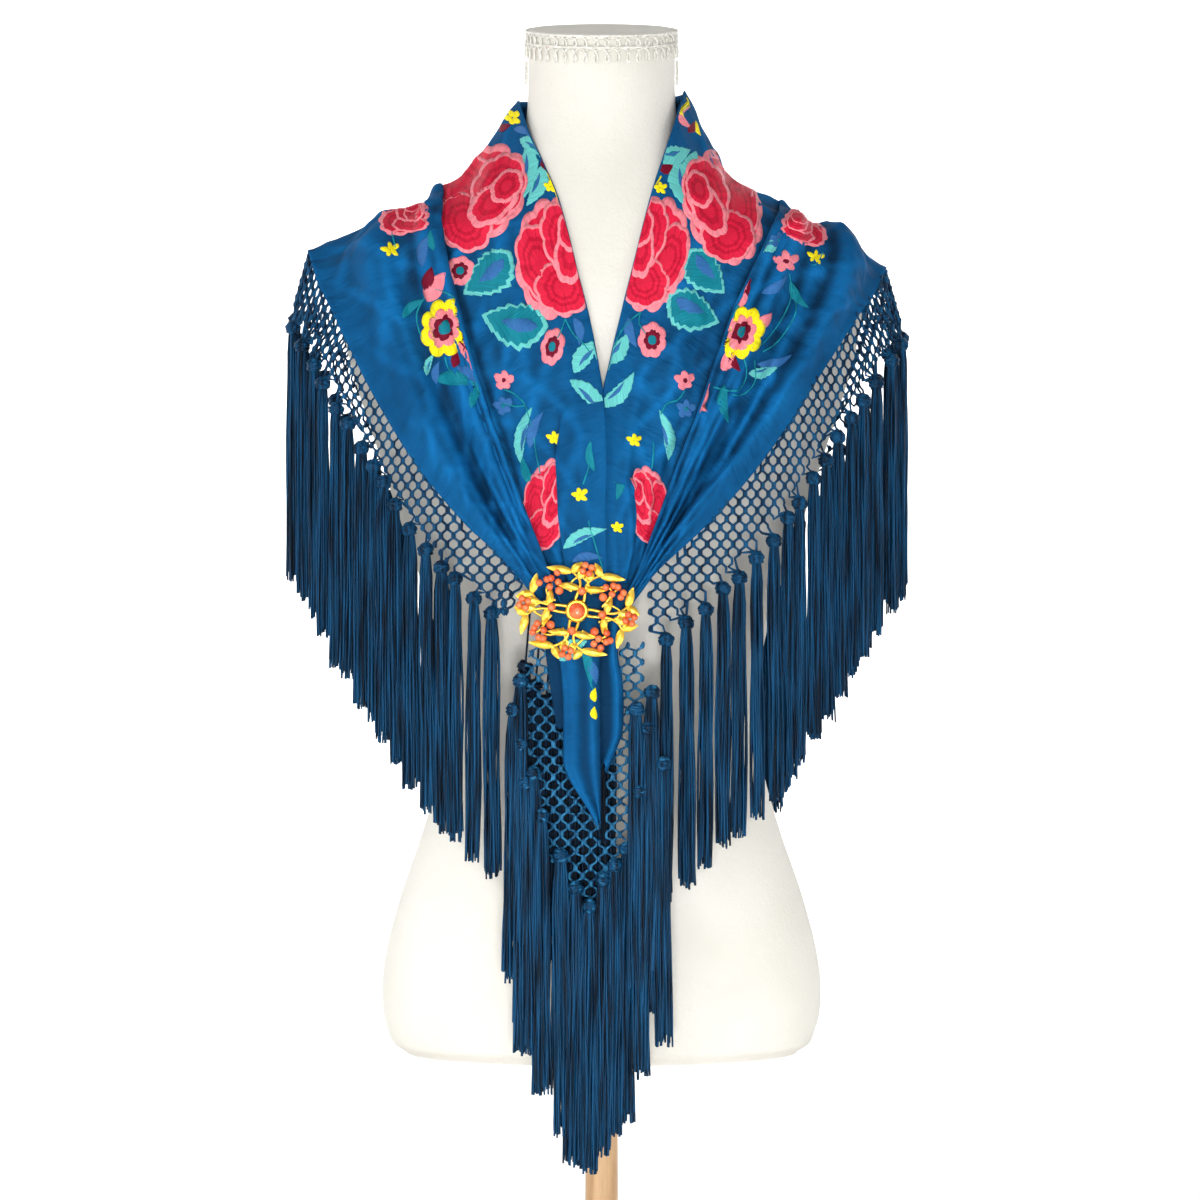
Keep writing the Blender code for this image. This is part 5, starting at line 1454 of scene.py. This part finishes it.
class Net:
    """A net between two lines of points, with tassels along the second line."""

    def __init__(self, hem, knot, rng):
        self.hem, self.knot, self.rng = hem, knot, rng
        steps = np.hypot(np.diff(hem[:, 0]), np.diff(hem[:, 1]))
        self.run = np.concatenate([[0.0], np.cumsum(steps)])
        self.length = self.run[-1]
        self.threads = []
        self.knots = []
        self.tassels = []
        level = ((hem[:, None, :2] - knot[None, :, :2]) ** 2).sum(axis=2)
        nearest = np.maximum.accumulate(level.argmin(axis=1))
        self.foot = self.knot[nearest]

    def place_tassels(self, count, plane):
        """Hang tassels evenly along the knots, as measured in the given plane."""
        steps = np.linalg.norm(np.diff(self.knot[:, plane], axis=0), axis=1)
        along = np.concatenate([[0.0], np.cumsum(steps)])
        for number in range(count):
            where = (number + 0.5 + self.rng.uniform(-0.14, 0.14)) / count * along[-1]
            place = line_point(where, along, self.knot)
            way = line_point(where + 0.004, along, self.knot) - place
            way[2] = 0
            size = np.linalg.norm(way)
            way = way / size if size > 1e-6 else ACROSS
            place[2] += self.rng.uniform(-0.0026, 0.0026)
            self.tassels.append((place, way, FRINGE_DROP * self.rng.uniform(0.985, 1.02)))

    def weave(self, brooch_end):
        """Plumb threads that touch in turn, so that their meshes are upright ovals.

        brooch_end is the level run at the brooch, where the meshes are wider, or None.
        """
        def half_at(where):
            near = 0.0
            if brooch_end is not None:
                near = 1 - float(ramp(0, MESH_FADE, abs(where - brooch_end)))
            return MESH_HALF[0] * near + MESH_HALF[1] * (1 - near)

        def hem_at(where):
            return line_point(where, self.run, self.hem)

        places = [0.001]
        while places[-1] < self.length - 0.001:
            places.append(places[-1] + half_at(places[-1]))
        tops = np.array([place for place, _, _ in self.tassels])
        for number, where in enumerate(places[:-1]):
            swing = half_at(where) / 2 - NET_CORD * OVERLAP
            top, foot = hem_at(where), line_point(where, self.run, self.foot)
            way = hem_at(where + 0.003) - hem_at(where - 0.003)
            way[2] = 0
            way = way / max(np.linalg.norm(way), 1e-6)
            rise = hem_at(where + swing)[2] - top[2]
            drop = max(top[2] - foot[2], 0.012)
            start = math.floor((top[2] + abs(rise) + MESH_STEP) / (MESH_STEP / POINTS_A_STEP))
            path = []
            for mark in range(start, 0, -1):
                height = mark * MESH_STEP / POINTS_A_STEP
                share = (top[2] - height) / drop
                if share > NET_END:
                    break
                turn, shift = swung(mark, number, swing)
                if height > top[2] + rise * shift / swing:
                    continue
                share = max(share, 0)
                place = top * (1 - share) + foot * share + way * shift
                place[2] = height
                if not path:
                    path.append(hem_at(where + shift))
                path.append(place)
                if is_knot(mark, turn):
                    self.knots.append(place + way * NET_CORD)
            if path:
                low = path[-1]
                nearest = tops[np.argmin(((tops - low) ** 2).sum(axis=1))]
                target = nearest + np.array((0, 0, KNOT_RADIUS * 0.8))
                side = (low - target) * np.array((0.45, 0.45, 0.25))
                path.append(target + side + np.array((0, 0, -0.0004)))
                path.append(target + side * 0.15)
                self.threads.append(path)


def hanging_threads(outline, rng):
    """Plumb threads and their knots inside an outline of a hanging end."""
    heights, left, right = along_all(outline, 60).T
    first = int(left.min() / HANGING_HALF) - 1
    last = int(right.max() / HANGING_HALF) + 1
    high, low = (int(end / HANGING_STEP * POINTS_A_STEP) for end in (heights.max(), heights.min()))
    threads = []
    knots = []
    for number in range(first, last + 1):
        path = []
        for mark in range(high, low, -1):
            height = mark * HANGING_STEP / POINTS_A_STEP
            turn, shift = swung(mark, number, HANGING_HALF / 2 - NET_CORD * OVERLAP)
            x = number * HANGING_HALF + shift
            edges = [np.interp(-height, -heights, edge) for edge in (left, right)]
            if edges[0] - 0.0012 <= x <= edges[1] + 0.0012:
                wander = rng.uniform(-0.0005, 0.0005)
                place = np.array((x + wander, TAIL_NET_Y + 2 * wander, height + wander))
                path.append(place)
                if is_knot(mark, turn):
                    knots.append(place + ACROSS * NET_CORD)
            else:
                threads.append(path)
                path = []
        threads.append(path)
    return [path for path in threads if len(path) > 2], knots


def tassel_paths(place, way, drop, rng, strands=STRANDS, full=1.0):
    """The strands and the wrapped knot of one tassel; `full` widens its skirt."""
    through = np.array((-way[1], way[0], 0.0))
    flare = rng.uniform(0.92, 1.12)
    sway = rng.uniform(-0.0022, 0.0022)
    paths = []
    times = np.linspace(0, 1, STRAND_POINTS) ** 1.25
    loose = np.minimum(times * 5, 1)
    wide = np.interp(times, *SKIRT_WIDE) * flare * full
    deep = np.interp(times, *SKIRT_DEEP)
    for strand in range(strands):
        angle = GOLDEN_ANGLE * strand
        reach = math.sqrt((strand + 0.5) / strands)
        u, v = reach * math.cos(angle), reach * math.sin(angle)
        wave = 0.0008 * np.sin(times * rng.uniform(5, 10) + rng.uniform(0, 6.3)) * loose
        end = drop * rng.uniform(0.95, 1.0)
        spot = place + np.outer(u * wide + wave + sway * times ** 2, way)
        spot = spot + np.outer(v * deep + 0.6 * wave[::-1] * loose, through)
        spot[:, 2] -= KNOT_RADIUS * 0.7 + times * (end - KNOT_RADIUS * 0.7)
        paths.append(np.column_stack([spot, np.full(len(spot), rng.uniform(0.8, 1.15))]))
    spin = rng.uniform(0, 6.3)
    for ring, tilt in enumerate(WRAP_TILTS):
        lean = spin + ring * 1.7
        axis = Vector((math.sin(tilt) * math.cos(lean), math.sin(tilt) * math.sin(lean),
                       math.cos(tilt)))
        first = axis.orthogonal().normalized()
        second = axis.cross(first)
        band = []
        for step in range(WRAP_POINTS + 1):
            angle = 2 * math.pi * step / WRAP_POINTS
            spot = first * math.cos(angle) + second * math.sin(angle)
            spot += axis * (0.12 * (ring - 1.5))
            band.append((*(Vector(place) + spot * KNOT_RADIUS * 0.80), 1.85))
        paths.append(band)
    return paths


def knots_mesh(name, places, tassels, coat):
    """The net's small knots and the round knots that the tassels hang from."""
    bm = bmesh.new()
    for place in places:
        spot = Matrix.Translation(Vector(place)) @ Matrix.Diagonal((0.85, 0.8, 1.35, 1))
        bmesh.ops.create_icosphere(bm, subdivisions=1, radius=0.0022, matrix=spot)
    for place, _, _ in tassels:
        spot = Matrix.Translation(Vector(place)) @ Matrix.Diagonal((1.0, 0.95, 1.05, 1))
        bmesh.ops.create_uvsphere(bm, u_segments=10, v_segments=7, radius=KNOT_RADIUS * 0.90,
                                  matrix=spot)
    return mesh_piece(name, bm, coat, "net_cord", normals=False, sharp=0)


def fringe_pieces(name, net, coat, nodes, rng, **fullness):
    """The netting, knots and tassels of one stretch, from its threads, knots and tassels."""
    threads, knots, tassels = net
    strands = [path for tassel in tassels for path in tassel_paths(*tassel, rng, **fullness)]
    return [
        cord_piece(f"{name}_netting", threads, NET_CORD, coat, "net_cord", nodes[0]),
        knots_mesh(f"{name}_knots", knots, tassels, coat),
        cord_piece(f"{name}_tassels", strands, STRAND_RADIUS, SILK, "fringe_silk", *nodes[1:]),
    ]


def make_net_and_fringe():
    """Net and tassels along the two fronts and the two halves of the back."""
    made = []
    stretches = (
        ("left_front", 0.0, LEFT_SHOULDER - SHOULDER_GAP, 16),
        ("left_back", LEFT_SHOULDER + SHOULDER_GAP, CENTRE_BACK - POINT_GAP, 24),
        ("right_back", CENTRE_BACK + POINT_GAP, RIGHT_SHOULDER - SHOULDER_GAP, 24),
        ("right_front", RIGHT_SHOULDER + SHOULDER_GAP, LAST_ROW, 17),
    )
    for number, (name, first, last, count) in enumerate(stretches):
        rng = random.Random(20 + number)
        rows = np.linspace(first, last, 240)
        pleated = pleating(np.minimum(rows, LAST_ROW - rows))
        lift = PLY_LIFT * pleated + PLY_LIFT / 2 * (1 - pleated)
        hem = shawl_points(rows, np.full_like(rows, HEM_SHARE), lift - 0.0006)
        net = Net(hem, smooth_at(KNOT_LINE, rows), rng)
        net.place_tassels(count, (0, 2) if "front" in name else (0, 1, 2))
        net.weave({"left_front": 0.0, "right_front": net.length}.get(name))
        made += fringe_pieces(name, (net.threads, net.knots, net.tassels), NET_SILK,
                              (f"{name}_net", f"{name}_fringe"), rng)
    return made


def tassel_ties(place, knots):
    """The two threads from the nearest knot of the net to a tassel."""
    start = np.array(min(knots, key=lambda k: np.hypot(k[0] - place[0], k[2] - place[2])))
    middle = (start + place) / 2 + np.array((0.0, 0.0, -0.002))
    end = place + np.array((0.0, 0.0, KNOT_RADIUS * 0.8))
    return [[start + ACROSS * shift, middle + ACROSS * shift * 2, end + ACROSS * shift]
            for shift in (-0.0010, 0.0010)]


def make_tail_net_and_fringe():
    """Net and tassels of the hanging ends, and the end that hangs hidden behind them."""
    made = []
    rng = random.Random(40)
    sides = (
        ("hanging_left", TAIL_NET_LEFT, TAIL_TASSELS[:9], ("tail_left_net", "tail_left_fringe")),
        ("hanging_right", TAIL_NET_RIGHT, TAIL_TASSELS[9:],
         ("tail_right_net", "tail_middle_fringe", "tail_right_fringe")),
    )
    for name, outline, table, nodes in sides:
        threads, knots = hanging_threads(outline, rng)
        tassels = [(np.array((x, y, z)), ACROSS, drop) for x, z, y, drop in table]
        for place, _, _ in tassels:
            threads += tassel_ties(place, knots)
        # The hanging ends' net and knots wear the lighter copy of the net's silk: painted light.
        made += fringe_pieces(name, (threads, knots, tassels), PAINTED_LIGHT_HANGING_SILK, nodes, rng,
                              strands=HANGING_STRANDS, full=HANGING_SKIRT)
        if name == "hanging_left":
            behind = []
            for number in range(HIDDEN_TASSELS):
                place = np.array(HIDDEN_PLACE) + (HIDDEN_STEP * number, 0, -0.012 * (number % 3))
                behind += tassel_paths(place, ACROSS, FRINGE_DROP * 1.02, rng, HIDDEN_STRANDS)
                behind.append([(*place, 1.2), (*(place + HIDDEN_TIE), 1.2)])
            # The hidden tassels wear the darker copy of the silk: painted shade.
            made.append(cord_piece("hanging_inner_tassels", behind, STRAND_RADIUS, PAINTED_SHADE_SILK,
                                   "fringe_silk"))
    return made


# ---------------------------------------------------------------- the dress form and its stand
FORM_AROUND = 96
FORM_UP = 150
NECK_FOOT = 0.960        # height where the form's sections end and the neck begins
# The cap's profile: how far in from the neck's skin, and below the top.
CAP_PROFILE = ((0.0, CAP_THICK), (0.0, 0.0014), (0.0005, 0.0006), (0.0014, 0.0001), (0.004, 0.0))
BRAID_SCROLLS = 44
SCROLL_POINTS = 14
RIM_POINTS = 160
# Rows of scrolls: height below the braid's top, size, lean, how far they stand out.
SCROLL_ROWS = ((0.0050, 0.0034, 1.15, 0.0), (0.0150, 0.0052, 1.0, 0.0006))
CORD_POINTS = 70
CORD_LENGTH = 0.018


def form_ring(half, front, back, power, height, tilt=0.0):
    """One closed section of the form, its first point repeated at the end."""
    angle = np.linspace(0, 2 * math.pi, FORM_AROUND + 1)
    cosine, sine = np.cos(angle), np.sin(angle)
    x = half * np.sign(cosine) * np.abs(cosine) ** (2 / power)
    y = np.where(sine > 0, back, front) * np.sign(sine) * np.abs(sine) ** (2 / power)
    return np.stack([x, y, height + y * math.tan(tilt)], axis=1)


def neck_ring(radius, height, tilt):
    """A round section of the neck."""
    return form_ring(radius, radius, radius, 2.0, height, tilt)


def closed_tube(name, rings, coat, slot, *nodes):
    """A closed body through rings of points, capped at both ends."""
    bm = sheet_mesh(np.array(rings))
    bmesh.ops.remove_doubles(bm, verts=bm.verts, dist=0.00001)
    bmesh.ops.holes_fill(bm, edges=[e for e in bm.edges if e.is_boundary], sides=0)
    return mesh_piece(name, bm, coat, slot, *nodes)


def make_form():
    """The cotton-covered torso and neck, and the cap on top."""
    heights = along_all(FORM_TABLE[:, 0], FORM_UP)
    sections = zip(form_section(heights), heights)
    rings = [form_ring(*section, height) for section, height in sections]
    top = NECK_TOP - CAP_THICK - 0.0003
    for share in np.linspace(0.2, 1.0, 6):
        height = NECK_FOOT + (top - NECK_FOOT) * share
        rings.append(neck_ring(NECK_RADIUS, height, NECK_TILT * share))
    closed_tube("form_cotton_cover", rings, COTTON, "form_cotton", "form_torso")
    cap = [neck_ring(NECK_RADIUS - inset, NECK_TOP - below, NECK_TILT)
           for inset, below in CAP_PROFILE]
    closed_tube("neck_cap_cover", cap, COTTON, "form_cotton", "form_neck_cap")


def neck_point(angle, radius, height):
    """A point beside the neck, on a level that tilts with its top."""
    y = radius * math.sin(angle)
    return radius * math.cos(angle), y, height + y * math.tan(NECK_TILT)


def make_braid():
    """Gimp round the top of the neck: an upper row of tight scrolls and a lower looped row."""
    top = NECK_TOP - 0.0012
    radius = NECK_RADIUS + 0.0013
    steps = BRAID_SCROLLS * SCROLL_POINTS
    rows = []
    for below, size, lean, bulge in SCROLL_ROWS:
        path = []
        for step in range(steps):
            turn = 2 * math.pi * step / SCROLL_POINTS
            angle = 2 * math.pi * step / steps + lean * 0.052 * math.sin(turn)
            out = bulge + 0.0005 * math.sin(turn)
            place = neck_point(angle, radius + out, top - below + size * math.cos(turn))
            path.append((*place, 1.0))
        rows.append(path)
    turns = [2 * math.pi * step / RIM_POINTS for step in range(RIM_POINTS)]
    for below in (0.0005, 0.0092):
        rows.append([(*neck_point(turn, radius + 0.0003, top - below), 1.35) for turn in turns])
    cord_piece("neck_gimp", rows, 0.0008, BRAID, "form_braid", "neck_braid", sides=1, cyclic=True)
    for side, node in ((-1, "neck_cord_left"), (1, "neck_cord_right")):
        strands = []
        for strand in range(3):
            path = []
            for share in shares_of(CORD_POINTS):
                angle = 2 * math.pi * (strand / 3 + share * 7)
                path.append((side * (NECK_RADIUS + 0.0016) + 0.0007 * math.cos(angle),
                             0.0010 * math.sin(angle),
                             NECK_TOP - BRAID_HEIGHT - 0.002 - share * CORD_LENGTH))
            strands.append(path)
        cord_piece(f"{node}_twist", strands, 0.0007, BRAID, "form_braid", node, sides=1)


# ---------------------------------------------------------------- the brooch
SPRAYS = 8
BROOCH_HALF_WIDE, BROOCH_HALF_TALL = 0.041, 0.032
SPRAY_POINTS = 14
BRANCH_POINTS = 9
RING_POINTS = 96
HALF_SPRAY = 0.393       # angle from a spray to half way to the next
CURL = 0.30              # how far a spray's stem bends, to each side in turn
LARGE_BEAD, SMALL_BEAD = 0.0031, 0.0026
PETAL_REACH = 0.0035     # from the middle of a bead flower to its beads


def brooch_spot(angle, reach, forward=0.0):
    """A point of the brooch at an angle and at a share of its half sizes."""
    return Vector((BROOCH_X + BROOCH_HALF_WIDE * reach * math.cos(angle),
                   BROOCH_FRONT_Y + 0.0008 - forward,
                   BROOCH_Z + BROOCH_HALF_TALL * reach * math.sin(angle)))


def gilt_leaf(bm, root, tip, wide, forward=0.0016):
    """One pressed leaf, crowned along its vein."""
    along = tip - root
    side = along.cross(Vector((0, -1, 0))).normalized()
    made = bmesh.ops.create_grid(bm, x_segments=8, y_segments=4, size=1.0)
    for vert in made["verts"]:
        share, part = (vert.co.x + 1) / 2, vert.co.y
        half = wide * math.sin(math.pi * (0.06 + 0.94 * share) ** 0.8) + 0.0002
        rise = forward * math.sin(math.pi * min(1, share * 1.1 + 0.05)) * (1 - 0.75 * abs(part))
        vert.co = root + along * share + side * part * half + Vector((0, -rise, 0))


def bead_cluster(number, middle):
    """Coral beads between two sprays: a flower of four, or an arc of six, in turn."""
    if number % 2:
        centre = brooch_spot(middle, 0.96, 0.0008)
        turns = [math.pi / 2 * petal + 0.4 for petal in range(4)]
        places = [centre + PETAL_REACH * Vector((math.cos(turn), 0, math.sin(turn)))
                  for turn in turns]
    else:
        places = [brooch_spot(middle + 0.085 * (step - 2.5),
                              0.84 + 0.11 * math.sin(step * 2.3 + number), 0.0004 * (step % 3))
                  for step in range(6)]
    return [(place, SMALL_BEAD) for place in places]


def make_brooch():
    """A spray brooch: gilt stems and leaves round a coral stone, with coral beads."""
    stems = []
    leaves = bmesh.new()
    beads = []
    for number in range(SPRAYS):
        angle = 2 * math.pi * number / SPRAYS + 0.2
        curl = CURL if number % 2 else -CURL
        shares = shares_of(SPRAY_POINTS)
        stem = [brooch_spot(angle + curl * math.sin(share * 2.8), 0.18 + 0.72 * share,
                            0.0012 * math.sin(math.pi * share)) for share in shares]
        stems.append([(*place, 1.1 - 0.3 * share) for place, share in zip(stem, shares)])
        for root, turn, reach, wide in (
                (stem[-1], CURL, 1.14, 0.0030), (stem[-1], -CURL, 1.12, 0.0030),
                (stem[10], 1.15 * curl, 1.00, 0.0027), (stem[6], -0.9 * curl, 0.70, 0.0026)):
            gilt_leaf(leaves, root, brooch_spot(angle + turn, reach), wide)
        beads.append((brooch_spot(angle + 0.39, 0.46 if number % 2 else 0.56), LARGE_BEAD))
        beads += bead_cluster(number, angle + HALF_SPRAY)
        stems.append([(*brooch_spot(angle + HALF_SPRAY * share * (2 - share), 0.46 + 0.42 * share,
                                    0.0006 * math.sin(math.pi * share)), 0.85)
                      for share in shares_of(BRANCH_POINTS)])
    turns = [2 * math.pi * step / RING_POINTS for step in range(RING_POINTS)]
    ring = [(*brooch_spot(turn, 0.68 + 0.10 * math.cos(8 * turn + 0.6)), 0.8) for turn in turns]
    cord_piece("gilt_stems", stems, 0.0012, GILT, "gilt", "brooch_sprays", sides=1)
    cord_piece("gilt_scroll", [ring], 0.0011, GILT, "gilt", sides=1, cyclic=True)
    leaf_piece = mesh_piece("gilt_leaves", leaves, GILT, "gilt", normals=False, sharp=0)
    walled(leaf_piece, 0.0007, -1.0, "leaf_metal")
    smooth = leaf_piece.modifiers.new("leaf_edge", "SUBSURF")
    smooth.levels = smooth.render_levels = 1
    bm = bmesh.new()
    for place, radius in beads:
        spot = Matrix.Translation(place + Vector((0, -radius * 0.9, 0)))
        bmesh.ops.create_uvsphere(bm, u_segments=14, v_segments=9, radius=radius,
                                  matrix=spot @ Matrix.Rotation(1.57, 4, "X"))
    nodes = [f"brooch_beads_{number + 1}" for number in range(SPRAYS)]
    mesh_piece("coral_beads", bm, CORAL, "coral", *nodes, normals=False, sharp=0)


def carried_over():
    """Finishes for the solids that stay as they are."""
    coats = {"stand_base": WOOD, "stand_pole": WOOD, "brooch_bezel": GILT, "brooch_stone": CORAL}
    for name, coat in coats.items():
        for slot in bpy.data.objects[name].material_slots:
            slot.material = coat


# ---------------------------------------------------------------- floor, light and camera
# The floor's profile: radius and height.
FLOOR_PROFILE = ((0.0, 0.0), (4.2, 0.0), (5.0, 0.12), (5.6, 0.5), (5.9, 1.2), (6.0, 2.2),
                 (6.0, 4.0))
WORLD_STRENGTH = 0.29
# Area lights: name, place, aim, size, power.
LIGHTS = (
    ("key_light", (-2.0, -2.0, 2.5), (0, 0, 0.75), 0.6, 25),
    ("fill_light", (0.0, -3.1, 0.66), (0, 0, 0.60), 0.9, 16),
    ("net_light", (0.0, -1.7, 0.17), (0, 0, 0.46), 0.32, 10),
    ("back_light", (0.6, 2.6, 2.4), (0, 0, 0.75), 1.5, 3),
    ("low_light_1", (-0.75, -0.9, 0.15), (-0.05, -0.05, 0.54), 0.5, 2.2),
    ("backdrop_light_1", (-2.6, 2.6, 3.0), (-1.0, 5.6, 0.6), 1.8, 185),
    ("low_light_3", (0.75, -0.9, 0.15), (0.05, -0.05, 0.54), 0.5, 2.2),
    ("backdrop_light_3", (2.6, 2.6, 3.0), (1.0, 5.6, 0.6), 1.8, 185),
)


def placed(name, data, place):
    """A new object of the scene at a place."""
    obj = bpy.data.objects.new(name, data)
    obj.location = place
    bpy.context.scene.collection.objects.link(obj)
    return obj


def make_stage():
    """A pale floor whose rim curves up all round."""
    bm = bmesh.new()
    verts = [bm.verts.new((radius, 0, height)) for radius, height in FLOOR_PROFILE]
    edges = [bm.edges.new(pair) for pair in zip(verts, verts[1:])]
    bmesh.ops.spin(bm, geom=verts + edges, cent=(0, 0, 0), axis=(0, 0, 1), angle=2 * math.pi,
                   steps=96, use_merge=True)
    bmesh.ops.remove_doubles(bm, verts=bm.verts, dist=0.0001)
    data = smooth_mesh("studio_floor", bm)
    paper, shader = finish("white_paper", (0.96, 0.96, 0.96), 0.9, specular=0.1)
    tree = paper.node_tree
    tinted(tree, shader, noise(tree, object_place(tree), 2.0), ((0.955,) * 3, (0.965,) * 3))
    data.materials.append(paper)
    placed("studio_floor", data, (0, 0, 0))


def make_light_and_camera():
    """Soft studio light, and the camera at the photograph's viewing angle."""
    scene = bpy.context.scene
    scene.world = bpy.data.worlds.new("studio")
    scene.world.use_nodes = True
    background = scene.world.node_tree.nodes["Background"]
    background.inputs["Color"].default_value = (1.0, 1.0, 1.0, 1)
    background.inputs["Strength"].default_value = WORLD_STRENGTH
    for name, place, aim, size, power in LIGHTS:
        data = bpy.data.lights.new(name, "AREA")
        data.shape = "DISK"
        data.size = size
        data.energy = power
        way = Vector(aim) - Vector(place)
        placed(name, data, place).rotation_euler = way.to_track_quat("-Z", "Y").to_euler()
    data = bpy.data.cameras.new("camera")
    data.sensor_width = 36.0
    data.lens = EYE_LENS
    data.clip_start = 0.05
    data.clip_end = 50.0
    scene.camera = placed("camera", data, EYE)
    scene.camera.rotation_euler = (math.pi / 2, 0, 0)
    scene.view_settings.view_transform = "Standard"


make_light_and_camera()
make_stage()
make_form()
make_braid()
carried_over()
cloth = make_cloth()
tails = make_tails()
flowers = make_embroidery(tails[0][1])
fringe = make_net_and_fringe()
tail_fringe = make_tail_net_and_fringe()
make_brooch()
